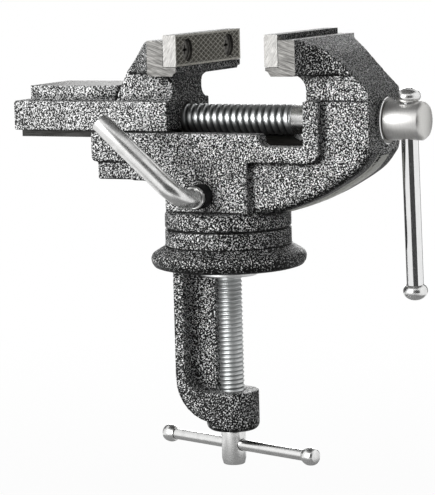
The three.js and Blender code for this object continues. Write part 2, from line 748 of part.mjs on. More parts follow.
// Ball pressed flat along its axis, with an optional blind hole from below
function flattened_ball(radius, half_height, hole_radius, place, direction) {
  const points = [];
  for (let i = 0; i <= ball_rings; i += 1) {
    const angle = -Math.PI / 2 + (i / ball_rings) * Math.PI;
    points.push([i % ball_rings ? radius * Math.cos(angle) : 0, half_height * Math.sin(angle)]);
  }
  const ball = turned(points, place, direction, rod_steps);
  if (hole_radius === 0) return ball;
  return cut(ball, bar(hole_radius, -half_height - overrun, 0, place, direction, small_steps));
}

// Sliding handle of the main screw, with a ball on each end
function main_handle() {
  const radius = handle_diameter / 2;
  const spigot = spigot_diameter / 2;
  const top = ball_seat;
  const bottom = ball_seat - handle_length;
  const shoulder = ball_height / 2 * ball_shoulder_share;
  add('handle_bar', turned([
    [0, bottom + fit - spigot_length / 2], [spigot, bottom + fit - spigot_length / 2],
    [spigot, bottom + shoulder + fit], [radius, bottom + shoulder + fit],
    [radius, top - shoulder - fit], [spigot, top - shoulder - fit],
    [spigot, top - fit + spigot_length / 2], [0, top - fit + spigot_length / 2],
  ], handle_middle, handle_direction, rod_steps), bright_steel);
  const ends = [['handle_ball_top', top, 1], ['handle_ball_bottom', bottom, -1]];
  for (const [name, height, side] of ends) {
    const place = handle_middle.clone().addScaledVector(handle_direction, height);
    const outward = handle_direction.clone().multiplyScalar(side);
    const ball = flattened_ball(ball_diameter / 2, ball_height / 2, 0, place, outward);
    const socket = bar(spigot + fit, -ball_height, spigot_length / 2, place, outward, small_steps);
    const seat = bar(radius + fit, -ball_height, -shoulder, place, outward, rod_steps);
    add(name, cut(ball, socket, seat), bright_steel);
  }
}

// Base casting: disc, neck, spine with its rib, arm and threaded boss
function clamp_frame() {
  const disc = turned([
    [0, relief_depth], [relief_radius, relief_depth], [relief_radius, 0], [disc_flat_radius, 0],
    ...disc_rim_shares.map(([out, up]) => [
      disc_flat_radius + out * (disc_radius - disc_flat_radius), up * disc_rim,
    ]), [flare_radius, flare_foot],
    [neck_radius, flare_top], [neck_radius, neck_top], [0, neck_top],
  ], new THREE.Vector3(), z_axis);
  const inside = -spine_inside;
  const arm = side_view([
    [-spine_back, disc_rim / 2], [-spine_back, arm_bottom, arm_outer_radius], [0, arm_bottom],
    [0, arm_top], [inside, arm_top, arm_inner_radius], [inside, disc_rim / 2],
  ], spine_half);
  const rib = plan_view([
    [inside - overrun, -rib_half - rib_fillet - overrun], [inside, -rib_half - rib_fillet - overrun],
    [inside, -rib_half, rib_fillet], [-rib_edge, -rib_half], [-rib_edge, rib_half],
    [inside, rib_half, rib_fillet], [inside, rib_half + rib_fillet + overrun],
    [inside - overrun, rib_half + rib_fillet + overrun],
  ], arm_top - overrun, disc_rim / 2);
  const boss = turned([
    [0, boss_bottom], [boss_radius - boss_rounding, boss_bottom],
    [boss_radius - boss_rounding * boss_corner_share, boss_bottom + boss_rounding * boss_corner_share],
    [boss_radius, boss_bottom + boss_rounding], [boss_radius, arm_top], [0, arm_top],
  ], new THREE.Vector3(), z_axis);
  const thread_bore = bar(clamp_thread_diameter / 2 + fit, boss_bottom - overrun, arm_top + overrun,
    new THREE.Vector3(), z_axis);
  const post_bore = bar(post_foot_diameter / 2 + fit, post_foot - fit, neck_top + overrun,
    new THREE.Vector3(), z_axis);
  add('clamp_frame', cut(joined(disc, arm, rib, boss), thread_bore, post_bore), hammer_paint);
}

// Swivel post in the neck, and the washer and screw that hold the vise down on it
function swivel_post() {
  const centre = new THREE.Vector3();
  const post = turned([
    [0, post_foot], [post_foot_diameter / 2, post_foot], [post_foot_diameter / 2, neck_top + fit],
    [post_diameter / 2, neck_top + fit], [post_diameter / 2, post_top], [0, post_top],
  ], centre, z_axis);
  const shank = post_screw_shank / 2;
  const washer_top = post_top + fit + post_washer_thickness;
  const screw_top = washer_top + fit + post_screw_head_height;
  const screw_foot = washer_top + fit - post_screw_length;
  const screw_hole = bar(shank + fit, screw_foot - fit, post_top + overrun, centre, z_axis);
  add('swivel_post', cut(post, screw_hole), satin_steel);
  add('swivel_washer', cut(
    bar(post_washer_diameter / 2, post_top + fit, washer_top, centre, z_axis),
    bar(shank + fit, post_top - overrun, washer_top + overrun, centre, z_axis)), bright_steel);
  const head = post_screw_head / 2;
  const screw = turned([
    [0, screw_foot], [shank, screw_foot], [shank, washer_top + fit], [head, washer_top + fit],
    [head, screw_top], [0, screw_top],
  ], centre, z_axis, rod_steps);
  const socket = bar(post_socket / 2, screw_top - post_socket_depth, screw_top + overrun, centre, z_axis,
    socket_sides);
  add('swivel_retaining_screw', cut(screw, socket), black_oxide);
}

// Clamp screw, hanging from the pad that it turns in
function clamp_screw() {
  const centre = new THREE.Vector3();
  const pad_bottom = -fit - pad_thickness;
  const neck_bottom = pad_bottom - clamp_neck_length;
  const plain_top = clamp_end + clamp_plain_length;
  const radius = clamp_thread_diameter / 2;
  const core_radius = clamp_thread_root / 2 - fit;
  const ridge = thread({
    crest: radius, root: clamp_thread_root / 2, pitch: clamp_pitch,
    from: plain_top - overrun, to: neck_bottom,
    rows: vee_thread_shares, steps: small_steps, place: centre, direction: z_axis,
  });
  const tip_top = -fit - pad_recess_depth + pad_ring_thickness + fit;
  const core = turned([
    [0, clamp_end], [clamp_end_face / 2, clamp_end],
    [radius, clamp_end + clamp_end_chamfer], [radius, plain_top],
    [core_radius, plain_top], [core_radius, neck_bottom], [clamp_neck_diameter / 2, neck_bottom],
    [clamp_neck_diameter / 2, pad_bottom - fit], [clamp_tip_diameter / 2, pad_bottom - fit],
    [clamp_tip_diameter / 2, tip_top], [0, tip_top],
  ], centre, z_axis, rod_steps);
  const hole = bar(clamp_handle_diameter / 2 + fit, -boss_radius, boss_radius,
    new THREE.Vector3(0, 0, clamp_handle_height), clamp_handle_direction, small_steps);
  add('clamp_screw', cut(joined(ridge, core), hole), satin_steel);
}

// Round pad, notched where it runs along the rib, and the ring that keeps it on the screw
function clamp_pad() {
  const centre = new THREE.Vector3();
  const top = -fit;
  const bottom = top - pad_thickness;
  const recess = top - pad_recess_depth;
  const tip = clamp_tip_diameter / 2;
  const disc = turned([
    [0, bottom], [pad_radius, bottom], [pad_radius, top], [0, top],
  ], centre, z_axis);
  const notch = block(-pad_radius - overrun, -rib_edge + sliding_fit,
    -rib_half - sliding_fit, rib_half + sliding_fit, bottom - overrun, top + overrun);
  add('clamp_pad', cut(disc, notch, bar(tip + fit, bottom - overrun, top + overrun, centre, z_axis),
    bar(pad_ring_diameter / 2 + fit, recess, top + overrun, centre, z_axis)), bright_steel);
  add('pad_ring', cut(
    bar(pad_ring_diameter / 2, recess + fit, recess + fit + pad_ring_thickness, centre, z_axis),
    bar(tip + fit, recess - overrun, top + overrun, centre, z_axis)), bright_steel);
}

// Sliding handle of the clamp screw, with a knob on each end
function clamp_handle() {
  const middle = new THREE.Vector3(0, 0, clamp_handle_height);
  const radius = clamp_handle_diameter / 2;
  const spigot = knob_spigot_diameter / 2;
  const far = -clamp_handle_far + knob_length / 2;
  const near = clamp_handle_near - knob_length / 2;
  const peg = knob_length * knob_socket_share;
  add('clamp_handle_bar', turned([
    [0, far + fit - peg], [spigot, far + fit - peg], [spigot, far + fit], [radius, far + fit],
    [radius, near - fit], [spigot, near - fit], [spigot, near - fit + peg], [0, near - fit + peg],
  ], middle, clamp_handle_direction, small_steps), bright_steel);
  const knob_radius = knob_diameter / 2;
  const ends = [['clamp_knob_near', near, 1], ['clamp_knob_far', far, -1]];
  for (const [name, height, side] of ends) {
    const place = middle.clone().addScaledVector(clamp_handle_direction, height);
    const outward = clamp_handle_direction.clone().multiplyScalar(side);
    const profile = knob_shares.map(([out, along]) => [out * knob_radius, along * knob_length]);
    const knob = turned([[0, 0], ...profile, [0, knob_length]], place, outward, rod_steps);
    add(name, cut(knob, bar(spigot + fit, -overrun, peg, place, outward, small_steps)), bright_steel);
  }
}

// Swivel lock: threaded stud, spacer, collar, bent lever and brake shoe
function swivel_lock() {
  const outward = y_axis.clone().negate();
  const axis = new THREE.Vector3(lock_x, 0, lock_height);
  const stud = lock_stud_diameter / 2;
  const post_side = Math.sqrt((post_diameter / 2) ** 2 - lock_x ** 2);
  const shoe_start = post_side + fit;
  const stud_start = shoe_start + brake_shoe_length + fit;
  const spacer_start = wall_half + fit;
  const collar_start = spacer_start + lock_spacer_length + fit;
  const collar_end = collar_start + lock_collar_length;
  add('brake_shoe', bar(stud - brake_shoe_undersize / 2, shoe_start, shoe_start + brake_shoe_length,
    axis, outward, small_steps), bronze);
  add('lock_stud', bar(stud, stud_start, collar_end, axis, outward, rod_steps), satin_steel);
  const ring = (name, from, to, wall, material) => add(name, cut(
    bar(stud + fit + wall, from, to, axis, outward, round_steps),
    bar(stud + fit, from - overrun, to + overrun, axis, outward)), material);
  ring('lock_spacer', spacer_start, collar_start - fit, lock_spacer_wall, black_oxide);
  ring('lock_collar', collar_start, collar_end, lock_collar_wall, satin_steel);
  const start = axis.clone().addScaledVector(outward, collar_end + fit);
  const elbow = start.clone().addScaledVector(outward, lever_bend + lever_lead);
  const free_end = elbow.clone().add(new THREE.Vector3(-lever_reach, -lever_lean, lever_rise));
  const bend_in = elbow.clone().addScaledVector(start.clone().sub(elbow).normalize(), lever_bend);
  const bend_out = elbow.clone().addScaledVector(free_end.clone().sub(elbow).normalize(), lever_bend);
  const path = new THREE.CurvePath();
  path.add(new THREE.LineCurve3(start, bend_in));
  path.add(new THREE.QuadraticBezierCurve3(bend_in, elbow, bend_out));
  path.add(new THREE.LineCurve3(bend_out, free_end));
  const section = new THREE.Shape().absarc(0, 0, lever_diameter / 2, 0, 2 * Math.PI);
  const sweep = new THREE.ExtrudeGeometry(section, {
    steps: lever_steps, extrudePath: path, curveSegments: lever_sides,
  });
  add('lock_lever', solid(sweep), satin_steel);
}

clamp_frame();
swivel_post();
clamp_pad();
clamp_screw();
clamp_handle();
vise_body();
swivel_lock();
main_screw();
screw_retainers();
main_handle();
moving_jaw();
guide_plate();
main_nut();

export default vise;
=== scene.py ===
from math import atan2, cos, hypot, pi, radians, sin, tan

import bmesh
import bpy
from mathutils import Matrix, Vector


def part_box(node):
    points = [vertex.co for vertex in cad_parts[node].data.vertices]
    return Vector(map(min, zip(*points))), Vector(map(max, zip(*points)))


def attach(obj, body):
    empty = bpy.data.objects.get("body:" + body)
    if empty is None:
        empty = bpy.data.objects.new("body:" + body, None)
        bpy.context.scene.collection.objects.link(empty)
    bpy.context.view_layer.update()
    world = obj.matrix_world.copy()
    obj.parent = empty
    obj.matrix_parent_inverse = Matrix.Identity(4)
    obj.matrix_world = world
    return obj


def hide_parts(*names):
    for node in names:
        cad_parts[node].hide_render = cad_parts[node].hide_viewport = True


bl_info = {
    "name": "Bench Vise",
    "version": (1, 0, 0),
    "blender": (4, 5, 0),
    "location": "View3D > Sidebar > Vise",
    "description": "Builds the visible model of a clamp-on swivel bench vise over its frame",
    "category": "Object",
}

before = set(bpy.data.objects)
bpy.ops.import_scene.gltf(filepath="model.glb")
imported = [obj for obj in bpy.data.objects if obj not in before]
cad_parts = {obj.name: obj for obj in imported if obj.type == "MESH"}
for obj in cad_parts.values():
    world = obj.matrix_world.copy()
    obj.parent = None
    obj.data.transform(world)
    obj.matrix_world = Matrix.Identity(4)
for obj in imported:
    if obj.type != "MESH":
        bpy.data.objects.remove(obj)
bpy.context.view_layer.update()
MM = 0.001
X, Y, Z = Vector((1, 0, 0)), Vector((0, 1, 0)), Vector((0, 0, 1))
VIEWS = {"side": (X, Z, Y), "plan": (X, Y, Z), "end": (Y, Z, X)}
SMOOTH_ANGLE = radians(35)

# Sizes that several pieces share, in millimetres: half widths, heights and depths of the jaw heads
JAW_HALF, WALL_HALF, ARCH_HALF, CHANNEL_HALF = 41.5, 28.5, 22.8, 18.6
HEAD_TOP, HEAD_BOTTOM, PLATE_BOTTOM, SEAT_BOTTOM = 130.4, 110.7, 115.9, 115.6
SEAT_DEPTH, BAR_DEPTH = 8.3, 18.1
SCREW_RADIUS, STUD_BORE = 8.5, 5.3
# Places on the axes of the screws and the lock, and the lines of the two sliding handles
SCREW_AXIS, LOCK_AXIS = (0, 0, 84.2), (-1.9, 0, 43.2)
HANDLE_HOLE, PIN_HOLE = Vector((111.5, 0, 84.2)), Vector((53.2, 0, 84.2))
CLAMP_HOLE = Vector((0, 0, -102.7))
TILT, TURN = radians(3.1), radians(19)
HANDLE_LINE = Vector((0, -sin(TILT), cos(TILT)))
CLAMP_LINE = Vector((cos(TURN), -sin(TURN), 0))


def node_box(name):
    """Lowest and highest corners of a frame node, in millimetres."""
    low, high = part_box(name)
    return Vector(low) / MM, Vector(high) / MM


def linear(hex_colour):
    """Linear red, green, blue and alpha of an sRGB hex colour."""
    values = [int(hex_colour[i:i + 2], 16) / 255 for i in (1, 3, 5)]
    return [v / 12.92 if v <= 0.04045 else ((v + 0.055) / 1.055) ** 2.4 for v in values] + [1]


# Mesh building, in millimetres

def rounded(corners, steps=8):
    """Outline from (u, v) or (u, v, radius) corners, with an arc at each radius."""
    points = []
    for i, corner in enumerate(corners):
        here = Vector(corner[:2])
        if len(corner) < 3:
            points.append(here)
            continue
        before = (Vector(corners[i - 1][:2]) - here).normalized()
        after = (Vector(corners[(i + 1) % len(corners)][:2]) - here).normalized()
        half = before.angle(after) / 2
        centre = here + (before + after).normalized() * (corner[2] / sin(half))
        start = here + before * (corner[2] / tan(half)) - centre
        end = here + after * (corner[2] / tan(half)) - centre
        first = atan2(start.y, start.x)
        turn = (atan2(end.y, end.x) - first + pi) % (2 * pi) - pi
        for step in range(steps + 1):
            angle = first + turn * step / steps
            points.append(centre + Vector((cos(angle), sin(angle))) * corner[2])
    return points


def spline(points, steps=24):
    """Smooth line through points."""
    points = [Vector(p) for p in points]
    line = []
    for step in range(steps + 1):
        place = step / steps * (len(points) - 1)
        i = min(int(place), len(points) - 2)
        t = place - i
        a, b, c = points[max(i - 1, 0)], points[i], points[i + 1]
        d = points[min(i + 2, len(points) - 1)]
        v0, v1 = (c - a) / 2, (d - b) / 2
        line.append((2 * b - 2 * c + v0 + v1) * t ** 3 + (3 * c - 3 * b - 2 * v0 - v1) * t ** 2 + v0 * t + b)
    return line


def linked(name, data):
    """Object of some data, in the scene."""
    piece = bpy.data.objects.new(name, data)
    bpy.context.scene.collection.objects.link(piece)
    return piece


def made(name, mesh):
    """Object from a bmesh in millimetres, in the scene and in metres."""
    bmesh.ops.recalc_face_normals(mesh, faces=mesh.faces)
    bmesh.ops.scale(mesh, vec=(MM, MM, MM), verts=mesh.verts)
    data = bpy.data.meshes.new(name)
    mesh.to_mesh(data)
    mesh.free()
    return linked(name, data)


def prism(name, outline, low, high, view):
    """Solid of an outline pulled from low to high: side runs along Y, plan along Z and end along X."""
    u, v, w = VIEWS[view]
    mesh = bmesh.new()
    rings = [[mesh.verts.new(u * p[0] + v * p[1] + w * at) for p in outline] for at in (low, high)]
    for ring in rings:
        mesh.faces.new(ring)
    for i in range(len(outline)):
        mesh.faces.new((rings[0][i - 1], rings[0][i], rings[1][i], rings[1][i - 1]))
    return made(name, mesh)


def block(name, x, y, z):
    """Box cutter between two values on each axis."""
    return prism(name, [(x[0], y[0]), (x[1], y[0]), (x[1], y[1]), (x[0], y[1])], z[0], z[1], "plan")


def turned(name, profile, place=(0, 0, 0), direction=Z, steps=96, waves=None):
    """Turned solid from (radius, height) points along a direction.
    waves(radius, height, angle) may give another radius at each point that isn't on the axis."""
    spin = Z.rotation_difference(Vector(direction))
    mesh = bmesh.new()
    rings = []
    for radius, height in profile:
        ring = []
        for step in range(steps if radius > 0 else 1):
            angle = 2 * pi * step / steps
            out = radius if waves is None or radius == 0 else waves(radius, height, angle)
            ring.append(mesh.verts.new(Vector(place) + spin @ Vector(
                (out * cos(angle), out * sin(angle), height))))
        rings.append(ring)
    for lower, upper in zip(rings, rings[1:]):
        for step in range(steps):
            corners = [lower[step % len(lower)], lower[(step + 1) % len(lower)],
                       upper[(step + 1) % len(upper)], upper[step % len(upper)]]
            corners = list(dict.fromkeys(corners))
            if len(corners) > 2:
                mesh.faces.new(corners)
    return made(name, mesh)


def rod(name, radius, low, high, place=(0, 0, 0), direction=Z, steps=64, edge=0.0):
    """Round bar between two heights, with chamfered ends where edge isn't zero."""
    profile = [(0, low), (radius - edge, low)]
    if edge:
        profile += [(radius, low + edge), (radius, high - edge)]
    profile += [(radius - edge, high), (0, high)]
    return turned(name, profile, place, direction, steps)


def swept(name, path, radii, steps=48):
    """Round bar along a path of points, with a radius at each."""
    mesh = bmesh.new()
    rings = []
    side = (path[1] - path[0]).orthogonal().normalized()
    for i, (point, radius) in enumerate(zip(path, radii)):
        along = (path[min(i + 1, len(path) - 1)] - path[max(i - 1, 0)]).normalized()
        side = (side - along * side.dot(along)).normalized()
        up = along.cross(side)
        rings.append([mesh.verts.new(point + radius * (
            side * cos(2 * pi * s / steps) + up * sin(2 * pi * s / steps)))
            for s in range(steps)])
    for lower, upper in zip(rings, rings[1:]):
        for s in range(steps):
            mesh.faces.new((lower[s - 1], lower[s], upper[s], upper[s - 1]))
    mesh.faces.new(rings[0])
    mesh.faces.new(rings[-1])
    return made(name, mesh)


def baked(piece):
    """Applies a piece's modifiers to its mesh."""
    view = bpy.context.evaluated_depsgraph_get()
    data = bpy.data.meshes.new_from_object(piece.evaluated_get(view))
    piece.modifiers.clear()
    piece.data = data


def combined(base, operation, *others):
    """Joins other solids to a solid, or cuts them from it."""
    for other in others:
        modifier = base.modifiers.new(operation.title(), "BOOLEAN")
        modifier.operation = operation
        modifier.solver = "MANIFOLD"
        modifier.object = other
    bpy.context.view_layer.update()
    baked(base)
    for other in others:
        bpy.data.objects.remove(other)
    return base


def cut(base, *others):
    """Cuts other solids from a solid."""
    return combined(base, "DIFFERENCE", *others)


def cast(piece):
    """Softens every edge of a solid, as a sand mould and thick paint do."""
    shape = bpy.context.scene.vise_shape
    remesh = piece.modifiers.new("Sand", "REMESH")
    remesh.mode = "VOXEL"
    remesh.voxel_size = shape.casting_detail
    soften = piece.modifiers.new("Soften", "SMOOTH")
    soften.iterations = shape.casting_softness
    soften.factor = 0.5
    baked(piece)


def eased(piece, width, steps, test):
    """Rounds the edges of a solid whose middle, in millimetres, passes a test."""
    mesh = bmesh.new()
    mesh.from_mesh(piece.data)
    edges = [e for e in mesh.edges if test((e.verts[0].co + e.verts[1].co) / 2 / MM)]
    bmesh.ops.bevel(mesh, geom=edges, offset=width * MM, offset_type="OFFSET", segments=steps,
                    profile=0.5, affect="EDGES", clamp_overlap=True)
    mesh.to_mesh(piece.data)
    mesh.free()


def finished(piece, body, nodes, materials):
    """Gives a piece its materials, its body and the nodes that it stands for."""
    piece.data.materials.clear()
    for material in materials:
        piece.data.materials.append(material)
    piece.data.polygons.foreach_set("material_index", [0] * len(piece.data.polygons))
    piece.data.shade_smooth()
    piece.data.set_sharp_from_angle(angle=SMOOTH_ANGLE)
    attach(piece, body)
    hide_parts(*nodes)


def paint_faces(piece, *rules):
    """Puts faces on a material slot by (slot, test) rules, each with a test of the face's centre, in
    millimetres, and its normal. Where rules overlap, the last one counts."""
    for face in piece.data.polygons:
        for slot, test in rules:
            if test(face.center / MM, face.normal):
                face.material_index = slot


# Materials

def set_inputs(tree, node, inputs):
    """Sets a node's inputs to values, or links them to sockets."""
    for key, value in inputs.items():
        if isinstance(value, bpy.types.NodeSocket):
            tree.links.new(value, node.inputs[key])
        else:
            node.inputs[key].default_value = value


def add_node(tree, kind, inputs=None, **settings):
    """Adds a shader node with its settings and inputs."""
    node = tree.nodes.new("ShaderNode" + kind)
    for key, value in settings.items():
        setattr(node, key, value)
    set_inputs(tree, node, inputs or {})
    return node


def new_material(name):
    """Empty node material, its tree, its shader and its object coordinates."""
    if name in bpy.data.materials:
        return bpy.data.materials[name], None, None, None
    material = bpy.data.materials.new(name)
    material.use_nodes = True
    tree = material.node_tree
    tree.nodes.clear()
    shader = add_node(tree, "BsdfPrincipled")
    output = add_node(tree, "OutputMaterial", {"Surface": shader.outputs["BSDF"]})
    output.is_active_output = True
    place = add_node(tree, "TexCoord").outputs["Object"]
    return material, tree, shader, place


def ramp(tree, value, stops):
    """Colour ramp through (place, colour) stops."""
    node = add_node(tree, "ValToRGB", {"Fac": value})
    points = node.color_ramp.elements
    while len(points) < len(stops):
        points.new(0.5)
    for point, (place, colour) in zip(points, stops):
        point.position = place
        point.color = colour
    return node.outputs["Color"]


def grey(value):
    """Plain grey for masks and roughness."""
    return (value, value, value, 1)


def multiplied(tree, colour, mask):
    """Colour darkened by a mask."""
    return add_node(tree, "Mix", {"Factor": 1.0, 6: colour, 7: mask},
                    data_type="RGBA", blend_type="MULTIPLY").outputs[2]


def hammered_paint(name="hammered_enamel_on_iron", thinness_and_shade=0.005):
    """Silver hammered enamel sprayed on cast iron: the paint draws up into pale grains with black
    pits between them. Inner corners and faces that look down are darkened as painted shade.
    A larger shift gives more pits: on a thinner coat, and where it stands for painted shade."""
    material, tree, shader, place = new_material(name)
    if tree is None:
        return material
    look = bpy.context.scene.vise_finish
    grain = 1 / look.paint_grain
    grains_per_pit, grains_per_cloud, painted_shade_reach = 2.5, 15, 5 * MM
    # Turned off the axes, because a noise is weakest along the planes of its own grid
    place = add_node(tree, "VectorRotate", {
        "Vector": place, "Rotation": (0.6, 0.4, 0.9)}, rotation_type="EULER_XYZ").outputs["Vector"]
    mottle = add_node(tree, "TexNoise", {
        "Vector": place, "Scale": grain, "Detail": 1.0, "Roughness": 0.6}).outputs["Fac"]
    # Faces that look down are darkened as painted shade: more pits and a darker tone
    normal = add_node(tree, "TexCoord").outputs["Normal"]
    upward = add_node(tree, "SeparateXYZ", {"Vector": normal}).outputs["Z"]
    painted_light_from_above = add_node(tree, "MapRange", {
        "Value": upward, "From Min": -0.75, "From Max": 0.08}).outputs["Result"]
    lack = add_node(tree, "MapRange", {
        "Value": painted_light_from_above, "To Min": 0.1, "To Max": -0.004}).outputs["Result"]
    coat = add_node(tree, "Math", {0: mottle, 1: lack}, operation="SUBTRACT").outputs[0]
    colour = ramp(tree, coat, [
        (0.44 + thinness_and_shade, look.paint_pit), (0.48 + thinness_and_shade, look.paint_low),
        (0.52 + thinness_and_shade, look.paint_mid), (0.58 + thinness_and_shade, look.paint_grain_top)])
    # Round pits, about one in each 1.9 mm
    cells = add_node(tree, "TexVoronoi", {
        "Vector": place, "Scale": grain / grains_per_pit}).outputs["Distance"]
    pitted = multiplied(tree, colour, ramp(tree, cells, [(0.19, grey(0.0)), (0.37, grey(1.0))]))
    patches = add_node(tree, "TexNoise", {
        "Vector": place, "Scale": grain / grains_per_cloud, "Detail": 1.0}).outputs["Fac"]
    clouded = multiplied(tree, pitted, ramp(tree, patches, [(0.38, grey(0.75)), (0.6, grey(1.0))]))
    # Painted shade: inner corners darkened within a few millimetres by an occlusion node
    corner = add_node(tree, "AmbientOcclusion", {"Distance": painted_shade_reach},
                      samples=8, only_local=True).outputs["AO"]
    corner_shaded = multiplied(tree, clouded, ramp(tree, corner, [
        (0.55, grey(0.01)), (0.7, grey(0.2)), (0.86, grey(1.0))]))
    # Painted shade: the colour darkens towards faces that look down
    underside_shaded = multiplied(tree, corner_shaded, ramp(tree, painted_light_from_above, [(0.0, grey(0.3)), (0.7, grey(1.0))]))
    bump = add_node(tree, "Bump", {"Height": mottle, "Strength": 0.5, "Distance": 0.2 * MM})
    set_inputs(tree, shader, {
        "Base Color": underside_shaded, "Normal": bump.outputs["Normal"], "Specular IOR Level": 0.15,
        "Roughness": ramp(tree, mottle, [(0.35, grey(0.6)), (0.65, grey(0.4))])})
    return material


def middle_enamel():
    """The same enamel, a little darker, on the fixed casting."""
    return hammered_paint("hammered_enamel_on_body", 0.022)


def dark_enamel_and_shade():
    """The same enamel, thinner and darker, on the base casting and the backs of the jaw plates; as
    painted shade on the turntable, under the jaws' wings and on the moving jaw's faces toward
    the fixed jaw.
    """
    return hammered_paint("hammered_enamel_on_base_and_shade", 0.056)


def darkest_enamel():
    """The same enamel, darkest, as painted shade on the disc's slope and the clamp's arm."""
    return hammered_paint("hammered_enamel_painted_shade_on_disc", 0.082)


def pale_keel_enamel():
    """Smooth pale grey enamel with faint streaks, along the keel of the fixed casting."""
    return dulled(steel("pale_enamel_on_keel", "#c0c0ba", 0.5, (5, 1, 1), 0.8, 0.2), 0.3)


def oiled_iron_and_shade():
    """Bare slideway iron, planed and oiled, nearly black: partly its own tone and partly painted shade inside
    the channels.
    """
    return steel("oiled_slideway_iron_and_shade", "#3a3937", 0.5, (20, 1, 1), 0.5, 0.25)


def machined_iron():
    """Grey iron, milled bare: slanting cutter marks and a soft sheen."""
    return steel("milled_grey_iron", "#6b6a68", 0.5, (14, 1, 1), 0.55, 0.3, -18)


def anvil_iron():
    """Grey iron, ground bare: fine lengthwise marks, warm grey."""
    return steel("ground_anvil_iron", "#4a4947", 0.5, (16, 1, 1), 0.4, 0.08)


def steel(name, colour, roughness, stretch, mark_size, contrast, slant=0):
    """Bare or plated steel with fine marks drawn out along an axis, mark_size in millimetres wide.
    Slant turns the marks about Y, in degrees."""
    material, tree, shader, place = new_material(name)
    if tree is None:
        return material
    turned_place = add_node(tree, "VectorRotate", {
        "Vector": place, "Angle": radians(slant)}, rotation_type="Y_AXIS").outputs["Vector"]
    scaled = add_node(tree, "Mapping", {
        "Vector": turned_place, "Scale": [1 / (s * mark_size * MM) for s in stretch]}).outputs["Vector"]
    marks = add_node(tree, "TexNoise", {
        "Vector": scaled, "Scale": 1.0, "Detail": 3.0, "Roughness": 0.7}).outputs["Fac"]
    tone = linear(colour)
    dark = [v * (1 - 2 * contrast) for v in tone[:3]] + [1]
    light = [min(1, v * (1 + contrast)) for v in tone[:3]] + [1]
    bump = add_node(tree, "Bump", {"Height": marks, "Strength": 0.15, "Distance": 0.05 * MM})
    set_inputs(tree, shader, {
        "Base Color": ramp(tree, marks, [(0.3, dark), (0.7, light)]), "Normal": bump.outputs["Normal"],
        "Roughness": ramp(tree, marks, [(0.3, grey(roughness * 1.2)), (0.7, grey(roughness * 0.85))]),
        "Metallic": 1.0})
    return material


def dulled(material, gloss):
    """Takes the metal's mirror from a finish, and leaves the gloss of paint, scale or dirt."""
    tree = material.node_tree
    set_inputs(tree, tree.nodes["Principled BSDF"], {"Metallic": 0.0, "Specular IOR Level": gloss})
    return material


def grooved(material, centre, mask, deep, high, colour):
    """Darkens a steel where oil and dirt lie: at distances from centre between deep and high, in
    millimetres, along the axes of mask. A steel that was darkened before stays as it is."""
    tree = material.node_tree
    if "Vector Math" in tree.nodes:
        return material
    shader = tree.nodes["Principled BSDF"]
    place = tree.nodes["Texture Coordinate"].outputs["Object"]
    offset = add_node(tree, "VectorMath", {0: place, 1: Vector(centre) * MM}, operation="SUBTRACT")
    across = add_node(tree, "VectorMath", {0: offset.outputs[0], 1: mask}, operation="MULTIPLY")
    radius = add_node(tree, "VectorMath", {0: across.outputs[0]}, operation="LENGTH").outputs["Value"]
    height = add_node(tree, "MapRange", {
        "Value": radius, "From Min": deep * MM, "From Max": high * MM}).outputs["Result"]
    metal = shader.inputs["Base Color"].links[0].from_socket
    dirt = ramp(tree, height, [(0.0, linear(colour)), (0.9, grey(1.0))])
    set_inputs(tree, shader, {"Base Color": multiplied(tree, metal, dirt)})
    return material


def ground_steel():
    """Hardened jaw steel, surface-ground on its ends: bright, with fine slanting marks."""
    return steel("ground_jaw_steel", "#858482", 0.45, (10, 1, 1), 0.5, 0.2, 62)


def knurled_steel(name, face, side, depth):
    """Hardened jaw steel, knurled and oiled: dark, flecked with dirt, with worn light ridges."""
    plate = steel(name, "#b4b2aa", 0.45, (1, 1, 1), 0.8, 0.4)
    away = 10
    return grooved(plate, (face - side * away, 0, 0), (1, 0, 0), away + depth, away, "#7a7873")


def dark_screw():
    """Countersunk jaw screw, hardened and oiled: dark grey and dull."""
    return steel("oiled_jaw_screw", "#75736f", 0.45, (1, 1, 1), 0.5, 0.2)


def plate_edge():
    """Upper edge of a jaw plate, unground and oiled: nearly black with pale flecks."""
    return dulled(steel("unground_jaw_steel", "#454442", 0.5, (1, 1, 1), 0.9, 0.48), 0.1)


def rolled_thread():
    """Steel screw with a turned thread, polished on its broad crests, with dark oil in its grooves."""
    screw = steel("turned_screw_steel", "#bcbebe", 0.38, (1, 12, 12), 0.3, 0.12)
    return grooved(screw, SCREW_AXIS, (0, 1, 1), 7.0, 8.4, "#b4b5b5")


def brushed_head():
    """Screw head turned and brushed: satin and pale."""
    return steel("brushed_screw_steel", "#d6d5d3", 0.42, (1, 14, 14), 0.25, 0.08)


def turned_end():
    """End of the screw's head, faced on a lathe: satin grey."""
    return steel("faced_screw_steel", "#d4d3d0", 0.38, (1, 1, 1), 0.3, 0.08)


def polished_bar():
    """Drawn bar, polished and nickel plated: near mirror with long soft stripes."""
    return steel("polished_nickel_bar", "#eaeaea", 0.08, (8, 8, 30), 0.4, 0.04)


def washer_face_in_painted_shade():
    """Face of a thrust washer, turned steel in mid grey: painted shade beside the screw's head."""
    return steel("turned_washer_face", "#8a8987", 0.4, (1, 1, 1), 0.4, 0.1)


def satin_lever():
    """Drawn bar, tumbled and zinc plated: satin, pale."""
    return steel("tumbled_zinc_bar", "#e6e6e5", 0.26, (10, 10, 10), 0.5, 0.08)


def zinc_screw():
    """Rolled clamp screw, bright zinc plated: cool pale grey, darker in its thread."""
    screw = steel("bright_zinc_screw", "#d2d4d4", 0.42, (8, 8, 1), 0.4, 0.08)
    return grooved(screw, (0, 0, 0), (1, 1, 0), 6.2, 6.9, "#c4c6c6")


